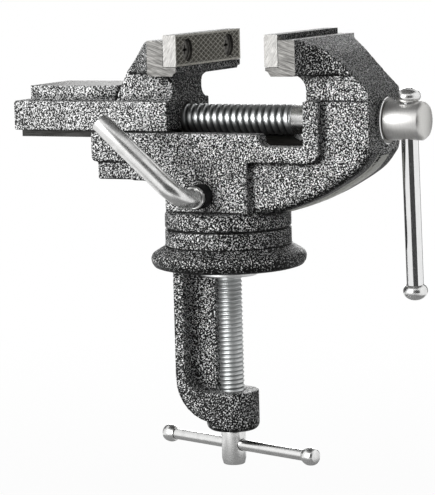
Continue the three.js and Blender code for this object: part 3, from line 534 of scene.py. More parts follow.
def bright_pin():
    """Split pin, drawn and zinc plated: bright."""
    return steel("zinc_pin", "#f6f6f6", 0.5, (1, 1, 1), 0.4, 0.08)


def blackened():
    """Steel spacer, black oxide: soft black with a dull sheen."""
    return steel("black_oxide_spacer", "#2b2b2c", 0.5, (1, 1, 1), 0.6, 0.2)


def dark_plate():
    """Hot-rolled guide plate, dark scale worn grey by sliding."""
    return steel("hot_rolled_plate", "#343433", 0.5, (20, 1, 1), 0.6, 0.25)


def cast_bronze():
    """Sand-cast bronze nut and shoe: warm brown-yellow."""
    return steel("cast_bronze", "#b08a4c", 0.42, (1, 1, 1), 1.0, 0.15)


def colour_value(name, description, colour):
    """Colour of the panel, from its sRGB hex."""
    return bpy.props.FloatVectorProperty(
        name=name, description=description, subtype="COLOR", size=4, default=linear(colour))


def length_value(name, description, default, least):
    """Length of the panel, from millimetres."""
    return bpy.props.FloatProperty(
        name=name, description=description, default=default * MM, min=least * MM, unit="LENGTH", precision=5)


class ViseFinish(bpy.types.PropertyGroup):
    """Colours and pattern size of the paint."""
    paint_grain: length_value("Paint grain", "Size of one hammered grain", 0.76, 0.2)
    paint_pit: colour_value("Paint pits", "Colour between the grains", "#080808")
    paint_low: colour_value("Paint low", "Colour at the foot of the grains", "#555656")
    paint_mid: colour_value("Paint middle", "Main colour of the grains", "#b4b6b5")
    paint_grain_top: colour_value("Paint tops", "Colour of the brightest grains", "#ffffff")


class ViseShape(bpy.types.PropertyGroup):
    """Sizes that the frame leaves open."""
    casting_detail: length_value("Casting detail", "Smallest form kept on a casting", 0.7, 0.3)
    casting_softness: bpy.props.IntProperty(
        name="Casting softness", description="How far the castings' edges are rounded", default=5, min=0)
    knurl_pitch: length_value("Knurl pitch", "Distance between two ridges of the jaw plates", 2.7, 0.5)
    knurl_depth: length_value("Knurl depth", "Height of the ridges of the jaw plates", 0.28, 0)


# Castings

def jaw_head(name, face, side, run, drop, chamfer, slope_shares, wing_shares):
    """Painted wings of a jaw head, its roof line and its crisp machined bar."""
    half, neck, top, bottom = JAW_HALF, ARCH_HALF, HEAD_TOP, HEAD_BOTTOM
    plate_back = face + side * SEAT_DEPTH
    back = plate_back + side * 9.8
    lip = face + side * 0.4
    slope = spline([(back + side * a * run, top - drop + b * drop) for a, b in slope_shares])
    edge = spline([(back + side * a * run, neck + b * (half - neck)) for a, b in wing_shares])
    roof = [(plate_back, top - drop - 1), (plate_back, top)] + slope + [(slope[-1][0], top - drop - 1)]
    plan = [(plate_back, half)] + edge + [(p[0], -p[1]) for p in reversed(edge)] + [(plate_back, -half)]
    wings = prism(name + "_wings", roof, -half, half, "side")
    wings = combined(wings, "INTERSECT", prism(name + "_plan", plan, bottom, 140, "plan"))
    bar = prism(name + "_bar", rounded([
        (plate_back, top), (plate_back, PLATE_BOTTOM - 0.3), (lip, PLATE_BOTTOM - 0.3),
        (lip, bottom + chamfer + 0.8), (lip + side * 1.6, bottom + chamfer),
        (lip + side * (chamfer + 0.8), bottom), (back, bottom, 1.5), (back, top)]), -half, half, "side")
    return slope, wings, bar


def fixed_casting():
    """Trough, column, arch, jaw head and turntable of the fixed casting."""
    face = node_box("fixed_jaw_plate")[0].x
    back, shoulder = 97.2, 101.2
    slope, wings, bar = jaw_head(
        "fixed", face, 1, back - face - BAR_DEPTH, HEAD_TOP - shoulder, 2.4,
        [(0, 1), (0.15, 0.9), (0.4, 0.72), (0.72, 0.34), (1, 0)],
        [(0, 1), (0.06, 0.72), (0.15, 0.5), (0.4, 0.13), (0.72, 0.03), (1, 0)])
    belly = spline([(a * back, 32 + b * 36) for a, b in [
        (0.3, 0), (0.431, 0.055), (0.631, 0.24), (0.792, 0.468), (0.924, 0.708), (1, 0.97)]])
    arch = prism("arch", [(0, 33.6)] + belly + slope[::-1] + rounded([
        (face + SEAT_DEPTH, HEAD_TOP), (face + SEAT_DEPTH, SEAT_BOTTOM), (face + 1.2, SEAT_BOTTOM),
        (face + 1.2, 113.9), (face + 4.4, HEAD_BOTTOM), (60, HEAD_BOTTOM, 9), (60, 62), (0, 62)]),
        -ARCH_HALF, ARCH_HALF, "side")
    eased(arch, 12.5, 9, lambda m: (
        abs(m.y) > ARCH_HALF - 0.1 and 29 < m.x and m.z < 68 and not (m.z > 61.9 and m.x < 60.1)))
    keel = prism("keel", [(0, 33.6)] + [p + Vector((0.5, -0.8)) for p in belly]
                 + [(90, 75), (0, 62)], -6, 6, "side")
    trough = prism("trough", rounded([
        (-72, 78), (-72, 61.5, 2.5), (-46, 61.5), (-46, 51), (-38, 51, 6), (-25.5, 44.6, 6), (-25.5, 33.6),
        (25.5, 33.6), (25.5, 62), (69.3, 62, 7), (69.3, 96.2), (60, 96.2), (60, 71.3),
        (34, 71.3, 3), (34, 78, 3)]), -WALL_HALF, WALL_HALF, "side")
    ledge = block("ledge", (-68.8, 0), (-26.5, 26.5), (51.2, 64.5))
    table = turned("table", [(0, 23.2), (36, 23.2), (36, 31.4), (34.4, 33), (0, 34.6)])
    solid = combined(trough, "UNION", ledge, arch, keel, table, wings)
    solid = cut(
        solid,
        block("channel", (-80, 60), (-CHANNEL_HALF, CHANNEL_HALF), (64.5, 100)),
        rod("bore", SCREW_RADIUS, 50, 105, SCREW_AXIS, X), rod("post_bore", 11.3, 10, 70),
        rod("washer_seat", 14.8, 56.7, 70), rod("stud_bore", STUD_BORE, 0, 40, LOCK_AXIS, -Y))
    cast(solid)
    rebate = block("rebate", (face - 1, face + SEAT_DEPTH), (-45, 45), (SEAT_BOTTOM, 140))
    line = [block("line", (68, 99), (s * ARCH_HALF - 0.8, s * ARCH_HALF + 0.8), (95.6, 96.8))
            for s in (-1, 1)]
    parting = turned("parting", [(0, 20), (34.8, 20), (34.8, 23.7), (40, 23.7), (40, 19), (0, 19)])
    foot = [block("foot", (-26, 26), (s * WALL_HALF - 0.9, s * WALL_HALF + 0.9), (33.1, 34.2))
            for s in (-1, 1)]
    cut(solid, rebate, parting, *line, *foot)
    combined(solid, "UNION", bar)
    solid.name = "fixed_casting"
    finished(solid, "vise_body", ["vise_body"],
             [middle_enamel(), machined_iron(), oiled_iron_and_shade(), dark_enamel_and_shade(), pale_keel_enamel()])
    paint_faces(
        solid, (1, lambda c, n: abs(c.y) > JAW_HALF - 0.1 and abs(n.y) > 0.9 and c.x < face + 18.2),
        (1, lambda c, n: abs(n.x) > 0.9 and abs(c.x - face - SEAT_DEPTH) < 0.1 and c.z > 115),
        # Partly painted shade: nearly black iron inside the channel
        (2, lambda c, n: abs(c.y) < 18.9 and c.x < 60.3 and 56 < c.z < 77.6),
        # Painted shade: darker enamel under the head's wings and on the turntable
        (3, lambda c, n: abs(c.y) > 23.2 and c.z > 97 and c.x > face + BAR_DEPTH and n.z < 0.5),
        (3, lambda c, n: c.z < 33.4 and hypot(c.x, c.y) < 36.3),
        (4, lambda c, n: abs(c.y) < 8.5 and c.x > 38 and c.z > 33.2 and n.z < -0.55))


def moving_casting():
    """Bar, anvil, riser and jaw head of the moving casting."""
    face = node_box("moving_jaw_plate")[1].x
    slope, wings, bar = jaw_head(
        "moving", face, -1, 50.1 + face - BAR_DEPTH, HEAD_TOP - 112.8, 1.2,
        [(0, 1), (0.2, 0.9), (0.54, 0.52), (0.82, 0.22), (1, 0)],
        [(0, 1), (0.2, 0.74), (0.54, 0.38), (0.82, 0.1), (1, 0)])
    riser = prism("riser", rounded([
        (-23.6, 94), (-23.6, 107.7), (-20.6, HEAD_BOTTOM), (face - SEAT_DEPTH, HEAD_BOTTOM),
        (face - SEAT_DEPTH, HEAD_TOP)])
        + slope + [(-56.9, 98.9), (-56.9, 94)], -ARCH_HALF, ARCH_HALF, "side")
    for hand in (-1, 1):
        cove = prism("cove", [(hand * y, z) for y, z in spline([
            (25, 95.9), (21.5, 97), (19.2, 99.5), (18.6, 103), (19.4, 106.5), (21.6, 109.2), (25, 110.6)])]
            + [(hand * 32, 110.6), (hand * 32, 95.9)], -34, -16, "end")
        wedge = prism("wedge", [(-32, hand * 23.2), (-19, hand * 16), (-15, hand * 16), (-15, hand * 33),
                                (-32, hand * 33)], 95, 112, "plan")
        cut(riser, combined(cove, "INTERSECT", wedge))
    slide = block("slide", (-122.4, -23.6), (-27.4, 27.4), (78.8, 95.7))
    anvil = block("anvil", (-113.4, -70.5), (-23, 23), (94, 107))
    edge = [(-71.5, 23)] + spline([(-70.5, 23), (-60, 17.75), (-56.9, 12.5)]) + [(-50, 12.5)]
    bridge = prism("bridge", edge + [(p[0], -p[1]) for p in reversed(edge)], 94, 107, "plan")
    solid = combined(slide, "UNION", riser, wings, anvil, bridge)
    solid = cut(
        solid,
        block("slot", (-116, -20), (-8.8, 8.8), (70, SCREW_AXIS[2])),
        rod("slot_round", 8.8, -116, -20, SCREW_AXIS, X),
        block("pocket", (-45.9, -27.3), (-13.3, 13.3), (70, 97.6)))
    cast(solid)
    rebate = block("rebate", (face - SEAT_DEPTH, face + 1), (-45, 45), (SEAT_BOTTOM, 140))
    cut(solid, rebate, block("anvil_face", (-130, -56.9), (-30, 30), (104.1, 120)))
    combined(solid, "UNION", bar)
    solid.name = "moving_casting"
    finished(solid, "moving_jaw", ["moving_jaw"],
             [hammered_paint(), machined_iron(), anvil_iron(), oiled_iron_and_shade(), dark_enamel_and_shade()])
    paint_faces(
        solid, (1, lambda c, n: abs(c.y) > JAW_HALF - 0.1 and abs(n.y) > 0.9),
        (2, lambda c, n: n.z > 0.99 and abs(c.z - 104.1) < 0.05),
        # Partly painted shade: nearly black iron in the slot and pocket
        (3, lambda c, n: abs(c.y) < 13.6 and -118 < c.x < -23.9 and c.z < 98 and n.z < 0.5),
        # Painted shade: darker enamel on faces toward the fixed jaw and under the head's wings
        (4, lambda c, n: n.x > 0.8 and c.z < 115 and c.x > -60),
        (4, lambda c, n: abs(c.y) > 23.2 and c.z > 110 and c.x < face - BAR_DEPTH and n.z < 0.5))


def base_casting():
    """Disc, neck, spine, rib, arm and boss of the base."""
    disc = turned("disc", [
        (0, 0.5), (18.5, 0.5), (18.5, 0), (38.5, 0), (42.4, 1.1), (44, 3.6), (44.4, 6.2), (43.3, 8.6),
        (36.3, 12.9), (36, 13.5), (36, 22.9), (0, 22.9)])
    spine = prism("spine", rounded([
        (-28.8, 3), (-28.8, -88.8, 24.8), (0, -88.8), (0, -71.3), (-22.5, -71.3, 11), (-22.5, 3)]),
        -15.2, 15.2, "side")
    rib = prism("rib", rounded([
        (-23.5, -9.2), (-22.5, -9.2), (-22.5, -3, 5.2), (-8.1, -3), (-8.1, 3), (-22.5, 3, 5.2),
        (-22.5, 9.2), (-23.5, 9.2)]), -72, 3, "plan")
    boss = turned("boss", [
        (0, -94.2), (11.6, -94.2), (13.4, -93.6), (14.7, -92.2), (15.2, -90.6), (15.2, -71.3), (0, -71.3)])
    solid = combined(disc, "UNION", spine, rib, boss)
    cut(solid, rod("thread_bore", 7.3, -100, -60), rod("post_bore", 8.3, 4.7, 30))
    cast(solid)
    cut(solid, block("seat", (-22, 50), (-50, 50), (-2, 0.05)),
        turned("parting", [(0, 22.75), (34.8, 22.75), (34.8, 22.3), (45, 22.3), (45, 30), (0, 30)]),
        cut(rod("flare_line", 45, 12.9, 13.6), rod("neck", 35.5, 10, 20)))
    solid.name = "base_casting"
    finished(solid, "base", ["clamp_frame"],
             [dark_enamel_and_shade(), machined_iron(), darkest_enamel()])
    paint_faces(
        # Painted shade: darkest enamel on the disc's slope and the near faces at the arm
        solid, (2, lambda c, n: hypot(c.x, c.y) > 35.6 and 3 < c.z < 12.9),
        (2, lambda c, n: c.z < -70 and n.y < -0.7 and c.x < 4),
        (1, lambda c, n: abs(n.z) > 0.99 and (abs(c.z) < 0.1 or abs(c.z - 22.75) < 0.1)))


# Jaw plates

def jaw_plate(name, body, face, side):
    """Jaw plate with a diamond knurl on its face, and its two cross-recessed screws."""
    shape = bpy.context.scene.vise_shape
    low, high = node_box(name)
    pitch, depth = shape.knurl_pitch / MM, shape.knurl_depth / MM
    step, rim_width, thickness, screw_place = 0.3, 0.9, 8, 26.5
    mesh = bmesh.new()
    columns = round((high.y - low.y) / step)
    rows = round((high.z - low.z) / step)

    def hollow(y, z):
        inset = min(y - low.y, high.y - y, z - low.z, high.z - z)
        if inset < rim_width:
            return 0
        lines = [abs((d / pitch) % 1 - 0.5) * 2 for d in (z * 0.9 + y * 0.43, z * 0.9 - y * 0.43)]
        return depth * min(1, (1 - max(lines)) * 4.5) * min(1, (inset - rim_width) / 0.4)

    grid = []
    for i in range(columns + 1):
        y = low.y + (high.y - low.y) * i / columns
        zs = [low.z + (high.z - low.z) * j / rows for j in range(rows + 1)]
        grid.append([mesh.verts.new((face + side * hollow(y, z), y, z)) for z in zs])
    for i in range(columns):
        for j in range(rows):
            mesh.faces.new((grid[i][j], grid[i + 1][j], grid[i + 1][j + 1], grid[i][j + 1]))
    rim = ([grid[i][0] for i in range(columns + 1)] + [grid[-1][j] for j in range(1, rows + 1)]
           + [grid[i][-1] for i in range(columns - 1, -1, -1)] + [grid[0][j] for j in range(rows - 1, 0, -1)])
    rear = [mesh.verts.new((face + side * thickness, v.co.y, v.co.z)) for v in rim]
    for i in range(len(rim)):
        mesh.faces.new((rim[i - 1], rim[i], rear[i], rear[i - 1]))
    mesh.faces.new(rear)
    plate = made(name + "_knurled", mesh)
    outward = X * side
    places = [Vector((face, y, (low.z + high.z) / 2)) for y in (-screw_place, screw_place)]
    cut(plate, *[turned("sink", [
        (0, -1), (6.3, -1), (6.3, 1.9), (3.3, 4.9), (3.3, 9), (0, 9)], p, outward) for p in places])
    knurled = knurled_steel(name + "_knurled_steel", face, side, depth)
    finished(plate, body, [name],
             [knurled, ground_steel(), dark_screw(), plate_edge(), dark_enamel_and_shade()])
    paint_faces(
        plate, (4, lambda c, n: abs(c.x - face - side * thickness) < 0.1 and abs(n.x) > 0.9),
        (3, lambda c, n: abs(n.z) > 0.9 and (c.z > high.z - 0.2 or c.z < low.z + 0.2)),
        (1, lambda c, n: abs(n.y) > 0.9 and abs(c.y) > JAW_HALF - 0.1),
        (2, lambda c, n: abs(c.x - face) > depth and hypot(
            abs(c.y) - screw_place, c.z - (low.z + high.z) / 2) < 6.4))
    for i, place in enumerate(places):
        screw = turned(f"{name}_cross_screw_{i + 1}", [
            (0, 1.95), (5.6, 1.9), (5.95, 2.1), (6, 2.3), (3, 5.2), (3, 15.9), (0, 15.9)], place, outward)
        cross = [block("arm", (min(face, face + side * 4), max(face, face + side * 4)),
                       (place.y - a, place.y + a), (place.z - b, place.z + b))
                 for a, b in ((0.65, 2.6), (2.6, 0.65))]
        cut(screw, combined(cross[0], "UNION", cross[1]))
        finished(screw, body, [f"{name}_screw_{i + 1}"], [dark_screw()])


def jaw_plates():
    """The plates of both jaws, each from the place of its face."""
    jaw_plate("fixed_jaw_plate", "vise_body", node_box("fixed_jaw_plate")[0].x, 1)
    jaw_plate("moving_jaw_plate", "moving_jaw", node_box("moving_jaw_plate")[1].x, -1)


# Screws and handles

def thread_wave(low, high, pitch, root, crest, form):
    """Radius of a right-hand thread at a height and angle, fading out at both ends."""
    def radius_at(radius, height, angle):
        if not low <= height <= high:
            return radius
        fade = min(1, (height - low) / pitch, (high - height) / pitch)
        return root + (crest - root) * (1 - fade + fade * form((height / pitch - angle / (2 * pi)) % 1))
    return radius_at


def flat_thread(t):
    """Broad crest with sloped flanks and a narrow groove."""
    t = abs(t - 0.5) * 2
    return 1 - max(0, min(1, (t - 0.42) / 0.4)) ** 1.5


def vee_thread(t):
    """Sharp crest and root."""
    t = abs(t - 0.5) * 2
    return 1 - max(0, min(1, (t - 0.12) / 0.8))


def rows_between(low, high, step):
    """Even heights from low to high."""
    count = max(1, round((high - low) / step))
    return [low + (high - low) * i / count for i in range(count + 1)]


def main_screw_piece():
    """Main screw with its thread, journal and drilled head."""
    thread_start, thread_end, journal_start, head_start = -61.2, 43.8, 44, 97
    profile = [(0, -62), (6.2, -62)]
    profile += [(SCREW_RADIUS, h) for h in rows_between(thread_start, thread_end, 0.25)]
    profile += [(8.2, 44.3), (8.2, 97.6), (10.8, 99.9), (10.8, 119.4), (10.5, 120), (9, 121.7),
                (8.7, 121.8), (0, 121.8)]
    screw = turned("main_screw_turned", profile, SCREW_AXIS, X,
                   waves=thread_wave(thread_start, thread_end, 4, 6.8, SCREW_RADIUS, flat_thread))
    cut(screw, rod("hole", 5.05, -20, 20, HANDLE_HOLE, HANDLE_LINE),
        *[ball("dish", 6.8, 5.1, HANDLE_HOLE + HANDLE_LINE * s * 13.8, HANDLE_LINE) for s in (-1, 1)],
        rod("pin_hole", 2.1, -20, 20, PIN_HOLE, HANDLE_LINE))
    finished(screw, "main_screw", ["main_screw"],
             [rolled_thread(), brushed_head(), turned_end(), satin_lever()])
    paint_faces(
        screw, (3, lambda c, n: c.x > journal_start),
        (1, lambda c, n: c.x > head_start),
        (2, lambda c, n: c.x > 120.5))


def ball(name, radius, half_height, place, direction):
    """Ball pressed flat along its axis."""
    profile = []
    for i in range(33):
        angle = pi * (i / 32 - 0.5)
        profile.append((radius * cos(angle) if 0 < i < 32 else 0, half_height * sin(angle)))
    return turned(name, profile, place, direction, 64)


def main_handle():
    """Polished sliding handle with its two pressed-on balls."""
    bar = turned("handle_polished_bar", [
        (0, -97.2), (3, -97.2), (3, -91.9), (4.5, -91.9), (4.75, -91.6), (4.75, 10.4), (4.5, 10.7),
        (3, 10.7), (3, 16), (0, 16)], HANDLE_HOLE, HANDLE_LINE)
    finished(bar, "main_handle", ["handle_bar"], [polished_bar()])
    for name, height, half, side in (
            ("handle_ball_top", 13.6, 4.6, 1), ("handle_ball_bottom", -95, 5.2, -1)):
        place, outward = HANDLE_HOLE + HANDLE_LINE * height, HANDLE_LINE * side
        piece = ball(name + "_polished", 6.9, half, place, outward)
        cut(piece, rod("socket", 3.3, -10, 2.5, place, outward),
            rod("seat", 5.05, -10, -2.9, place, outward))
        finished(piece, "main_handle", [name], [satin_lever()])


def thrust_pieces():
    """Bright washer under the screw's head, washer inside the column and split pin."""
    for name, radius, low, high in (
            ("outer_thrust_washer", 13.1, 97.5, 99.7), ("inner_thrust_washer", 12, 57.7, 59.7)):
        washer = rod(name + "_turned", radius, low, high, SCREW_AXIS, X, 96, 0.35)
        cut(washer, rod("bore", SCREW_RADIUS, low - 1, high + 1, SCREW_AXIS, X))
        finished(washer, "main_screw", [name], [polished_bar(), washer_face_in_painted_shade()])
        # Painted shade: the washers' faces toward +X are darker
        paint_faces(washer, (1, lambda c, n: n.x > 0.9))
    bend_start, pin_radius, eye_radius = -7, 1.75, 2.6
    shank = swept("split_pin_bent", [
        PIN_HOLE + HANDLE_LINE * h - X * max(0, bend_start - h)
        for h in (13.1, 12.6, 6, 0, -6, bend_start, -8.8)], [1.3] + [pin_radius] * 6)
    eye = [PIN_HOLE - X * 2 + HANDLE_LINE * (-10.9 + eye_radius * cos(a)) + X * eye_radius * sin(a)
           for a in [2 * pi * i / 32 for i in range(1, 31)]]
    loop = swept("eye", eye, [1.2] * len(eye), 24)
    combined(shank, "UNION", loop)
    finished(shank, "main_screw", ["split_pin"], [bright_pin()])


def clamp_screw_piece():
    """Clamp screw with its neck, thread and drilled end."""
    crest, thread_start, thread_end = 7, -95.3, -4.6
    profile = [(0, -114.3), (5.6, -114.3), (6.2, -113.9), (crest, -110.8), (crest, -95.4)]
    profile += [(crest, h) for h in rows_between(thread_start, thread_end, 0.2)]
    profile += [(6.3, -4.5), (6.3, -3.8), (4, -3.8), (4, -0.8), (0, -0.8)]
    screw = turned("clamp_screw_rolled", profile,
                   waves=thread_wave(thread_start, thread_end, 2.5, 6.35, crest, vee_thread))
    cut(screw, rod("hole", 3.5, -20, 20, CLAMP_HOLE, CLAMP_LINE))
    finished(screw, "clamp_screw", ["clamp_screw"], [zinc_screw(), satin_lever()])
    paint_faces(screw, (1, lambda c, n: c.z < thread_start + 0.1))


def clamp_handle():
    """Sliding handle of the clamp screw with its two knobs."""
    bar = rod("clamp_handle_polished", 3.2, -46.7, 55.4, CLAMP_HOLE, CLAMP_LINE)
    combined(bar, "UNION", rod("pegs", 2, -51.9, 60.6, CLAMP_HOLE, CLAMP_LINE))
    finished(bar, "clamp_handle", ["clamp_handle_bar"], [satin_lever()])
    for name, height, side in (("clamp_knob_near", 55.7, 1), ("clamp_knob_far", -47, -1)):
        place, outward = CLAMP_HOLE + CLAMP_LINE * height, CLAMP_LINE * side
        knob = turned(name + "_turned", [(0, 0), (3.8, 0)] + spline([
            (3.9, 0.3), (4.6, 1.6), (5.1, 3.2), (5.1, 5), (4.6, 7.2), (3.6, 8.3), (2.9, 8.6)]) + [(0, 8.6)],
            place, outward, 64)
        cut(knob, rod("socket", 2.3, -1, 5.2, place, outward))
        finished(knob, "clamp_handle", [name], [satin_lever()])


def clamp_pad_piece():
    """Bright pad, notched where it runs along the rib."""
    pad = turned("clamp_pad_turned", [
        (0, -3.5), (9, -3.5), (10, -4.6), (15.8, -4.6), (16.4, -4), (16.4, -0.7), (16, -0.3), (0, -0.3)])
    cut(pad, block("notch", (-20, -7.7), (-3.4, 3.4), (-5, 1)),
        rod("bore", 4.3, -5, 1), rod("recess", 6.3, -1.9, 1))
    finished(pad, "clamp_pad", ["clamp_pad"], [bright_pin()])


def lock_pieces():
    """Bent lever, its steel collar and the black spacer."""
    hub, elbow = Vector(LOCK_AXIS) - Y * 40.7, Vector(LOCK_AXIS) - Y * 55.5
    tip = elbow + Vector((-43, -12.5, 45))
    into, out = (hub - elbow).normalized(), (tip - elbow).normalized()
    bend, bend_steps = 13, 24
    path = [hub, hub - into * 0.4]
    for i in range(bend_steps + 1):
        t = i / bend_steps
        path.append((elbow + into * bend) * (1 - t) ** 2 + elbow * 2 * t * (1 - t)
                    + (elbow + out * bend) * t ** 2)
    path += [tip - out * 20, tip - out * 0.9, tip - out * 0.3, tip]
    radii = [4.7] + [5.5] * (len(path) - 4) + [5.5, 5.3, 4.9]
    lever = swept("lock_lever_bent", path, radii)
    finished(lever, "lock_lever", ["lock_lever"], [satin_lever()])
    for name, body, radius, low, high, slot, material in (
            ("lock_spacer", "vise_body", 6.9, 28.8, 37.4, "black_oxide", blackened()),
            ("lock_collar", "lock_lever", 6.4, 37.7, 40.5, "satin_steel", satin_lever())):
        ring = rod(name + "_turned", radius, low, high, LOCK_AXIS, -Y, 96, 0.5)
        cut(ring, rod("bore", STUD_BORE, low - 1, high + 1, LOCK_AXIS, -Y))
        finished(ring, body, [name], [material])


def frame_materials():
    """Finishes of the frame's own pieces that stay in view."""
    finishes = {
        "guide_plate": dark_plate, "main_nut": cast_bronze, "brake_shoe": cast_bronze,
        "swivel_post": brushed_head, "swivel_washer": bright_pin, "swivel_retaining_screw": blackened,
        "pad_ring": bright_pin, "lock_stud": satin_lever,
        "nut_screw_1": bright_pin, "nut_screw_2": bright_pin,
        **{f"guide_screw_{i}": bright_pin for i in (1, 2, 3, 4)}}
    for name, finish in finishes.items():
        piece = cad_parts[name]
        for slot in piece.material_slots:
            slot.material = finish()


# Stage

def area_light(name, place, aim, size, power):
    """Square soft box aimed at a point."""
    data = bpy.data.lights.new(name, "AREA")
    data.size = size
    data.energy = power
    lamp = linked(name, data)
    lamp.location = place
    lamp.rotation_euler = (Vector(aim) - Vector(place)).to_track_quat("-Z", "Y").to_euler()


def seen_directly(tree):
    """One where a ray comes from the camera, a gloss or glass, and zero elsewhere."""
    path = add_node(tree, "LightPath").outputs
    either = add_node(tree, "Math", {0: path["Is Camera Ray"], 1: path["Is Glossy Ray"]},
                      operation="MAXIMUM").outputs[0]
    return add_node(tree, "Math", {0: either, 1: path["Is Transmission Ray"]},
                    operation="MAXIMUM").outputs[0]


def set_world():
    """White background, with a softer level of its own for the light on the object."""
    world = bpy.data.worlds.new("studio")
    bpy.context.scene.world = world
    world.use_nodes = True
    tree = world.node_tree
    tree.nodes.clear()
    shown = add_node(tree, "Background", {"Color": grey(1), "Strength": 1.0})
    light = add_node(tree, "Background", {"Color": grey(1), "Strength": 0.15})
    mix = add_node(tree, "MixShader", {
        0: seen_directly(tree), 1: light.outputs[0], 2: shown.outputs[0]})
    add_node(tree, "OutputWorld", {"Surface": mix.outputs[0]})


def set_floor():
    """Plain pale floor below the clamp, which turns to the white of the background far away."""
    mesh = bmesh.new()
    reach, level = 3000, -190
    mesh.faces.new([mesh.verts.new((x, y, level)) for x, y in (
        (-reach, -reach), (reach, -reach), (reach, reach), (-reach, reach))])
    floor = made("floor", mesh)
    material, tree, shader, place = new_material("pale_matt_floor")
    set_inputs(tree, shader, {"Base Color": linear("#f2f2f2"), "Roughness": 0.9})
    glow = add_node(tree, "Emission", {"Color": grey(1), "Strength": 1.0})
    away = add_node(tree, "VectorMath", {0: place}, operation="LENGTH").outputs["Value"]
    share = ramp(tree, away, [(0.3, grey(0.94)), (1.0, grey(1.0))])
    amount = add_node(tree, "Math", {0: seen_directly(tree), 1: share}, operation="MULTIPLY")
    mix = add_node(tree, "MixShader", {
        0: amount.outputs[0], 1: shader.outputs[0], 2: glow.outputs[0]})
    tree.links.new(mix.outputs[0], tree.nodes["Material Output"].inputs["Surface"])
    floor.data.materials.append(material)


def cloth_screen(name, centre, facing, width, height, tone):
    """Grey cloth screen that only shows in gloss, where it gives polished metal its darker stripes."""
    across = Z.cross(Vector(facing)) if abs(facing[2]) < 0.9 else X
    up = Vector(facing).cross(across)
    mesh = bmesh.new()
    mesh.faces.new([mesh.verts.new(Vector(centre) + across * a * width / 2 + up * b * height / 2)
                    for a, b in ((-1, -1), (1, -1), (1, 1), (-1, 1))])
    screen = made(name, mesh)
    material, tree, shader, _ = new_material(name + "_cloth")
    set_inputs(tree, shader, {"Base Color": linear(tone), "Roughness": 1.0})
    screen.data.materials.append(material)
    screen.visible_camera = False
    screen.visible_diffuse = False
    screen.visible_shadow = False


def set_camera():
    """Camera at the photograph's angle, with its slight roll, and plain view colours."""
    bpy.context.scene.view_settings.view_transform = "Standard"
    azimuth, elevation, roll = radians(26.05), radians(7.09), radians(-1.5)
    back = Vector((sin(azimuth) * cos(elevation), -cos(azimuth) * cos(elevation),
                   sin(elevation)))
    right = (-back).cross(Z).normalized()
    up = right.cross(-back)
    side = right * cos(roll) + up * sin(roll)
    over = up * cos(roll) - right * sin(roll)
    aim, distance = Vector((-7.23, 0, 10.52)), 1479.9
    eye = (aim + back * distance) * MM
    data = bpy.data.cameras.new("camera")
    data.lens = 188.6
    data.sensor_width = 36
    data.clip_end = 100
    camera = linked("camera", data)
    camera.matrix_world = Matrix.Translation(eye) @ Matrix((side, over, back)).transposed().to_4x4()
    bpy.context.scene.camera = camera


def set_screens():
    """Screens round, above, below and behind the vise, for the stripes in its metal."""
    # Standing screens: angle about Z in degrees, distance and width in millimetres, and tone
    height, level = 570, 100
    for name, angle, away, width, tone in (
            ("side_screen", 36, 620, 760, "#606060"), ("right_screen", 169, 724, 320, "#202020"),
            ("left_screen", -120, 700, 600, "#808080")):
        side = Vector((sin(radians(angle)), -cos(radians(angle)), 0))
        cloth_screen(name, side * away + Z * level, -side, width, height, tone)
    cloth_screen("top_screen", (0, 0, 1500), (0, 0, -1), 2200, 2200, "#6c6c6c")
    cloth_screen("low_screen", (0, 0, -186), (0, 0, 1), 560, 560, "#c0c0c0")
    behind = Vector((-0.36, 0.73, 0.58))
    cloth_screen("rear_screen", behind * 1000, -behind, 1000, 500, "#404040")


def set_lamps():
    """Key lamp on the near side, and a weaker fill behind."""
    aim, size = (0, 0, 0.03), 0.9
    area_light("key", (-0.62, -1.4, 0.42), aim, size, 23)
    area_light("fill", (-0.5, 1.5, 0.42), aim, size, 11)


# Operators

class BuildSteps:
    """What the operators share: each runs its own steps in turn."""

    def execute(self, context):
        for step in self.steps:
            step()
        return {"FINISHED"}


class VISE_OT_stage(BuildSteps, bpy.types.Operator):
    """Sets the camera, the soft lights, the white background and the pale floor"""
    bl_idname = "vise.stage"
    bl_label = "Stage"
    steps = (set_camera, set_world, set_floor, set_screens, set_lamps)


class VISE_OT_castings(BuildSteps, bpy.types.Operator):
    """Makes the three painted castings"""
    bl_idname = "vise.castings"
    bl_label = "Castings"
    steps = (fixed_casting, moving_casting, base_casting)


class VISE_OT_jaw_plates(BuildSteps, bpy.types.Operator):
    """Makes the knurled jaw plates and their screws"""
    bl_idname = "vise.jaw_plates"
    bl_label = "Jaw Plates"
    steps = (jaw_plates,)


class VISE_OT_main_screw(BuildSteps, bpy.types.Operator):
    """Makes the main screw, its washers, its split pin and its sliding handle"""
    bl_idname = "vise.main_screw"
    bl_label = "Main Screw"
    steps = (main_screw_piece, thrust_pieces, main_handle)


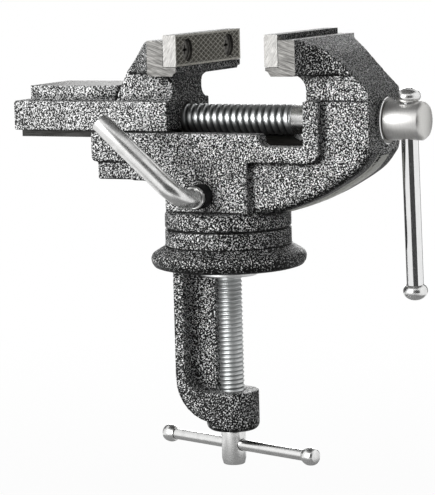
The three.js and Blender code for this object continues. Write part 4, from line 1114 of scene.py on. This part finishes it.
class VISE_OT_bench_clamp(BuildSteps, bpy.types.Operator):
    """Makes the clamp screw, its pad and its sliding handle"""
    bl_idname = "vise.bench_clamp"
    bl_label = "Bench Clamp"
    steps = (clamp_screw_piece, clamp_pad_piece, clamp_handle)


class VISE_OT_swivel_lock(BuildSteps, bpy.types.Operator):
    """Makes the bent lock lever, its collar and its spacer"""
    bl_idname = "vise.swivel_lock"
    bl_label = "Swivel Lock"
    steps = (lock_pieces,)


class VISE_OT_frame_finishes(BuildSteps, bpy.types.Operator):
    """Gives the frame's own pieces their finishes"""
    bl_idname = "vise.frame_finishes"
    bl_label = "Frame Finishes"
    steps = (frame_materials,)


class VISE_PT_panel(bpy.types.Panel):
    """Sizes, colours and steps of the vise"""
    bl_label = "Vise"
    bl_idname = "VISE_PT_panel"
    bl_space_type = "VIEW_3D"
    bl_region_type = "UI"
    bl_category = "Vise"

    def draw(self, context):
        for group in (context.scene.vise_shape, context.scene.vise_finish):
            for key in group.__annotations__:
                self.layout.prop(group, key)
        for operator in OPERATORS:
            self.layout.operator(operator.bl_idname)


OPERATORS = (VISE_OT_stage, VISE_OT_castings, VISE_OT_jaw_plates, VISE_OT_main_screw,
             VISE_OT_bench_clamp, VISE_OT_swivel_lock, VISE_OT_frame_finishes)
CLASSES = (ViseFinish, ViseShape) + OPERATORS + (VISE_PT_panel,)


def register():
    for item in CLASSES:
        bpy.utils.register_class(item)
    bpy.types.Scene.vise_finish = bpy.props.PointerProperty(type=ViseFinish)
    bpy.types.Scene.vise_shape = bpy.props.PointerProperty(type=ViseShape)


def unregister():
    del bpy.types.Scene.vise_shape
    del bpy.types.Scene.vise_finish
    for item in reversed(CLASSES):
        bpy.utils.unregister_class(item)


def main():
    """Builds the whole vise."""
    register()
    bpy.ops.vise.stage()
    bpy.ops.vise.castings()
    bpy.ops.vise.jaw_plates()
    bpy.ops.vise.main_screw()
    bpy.ops.vise.bench_clamp()
    bpy.ops.vise.swivel_lock()
    bpy.ops.vise.frame_finishes()


if __name__ == "__main__":
    main()
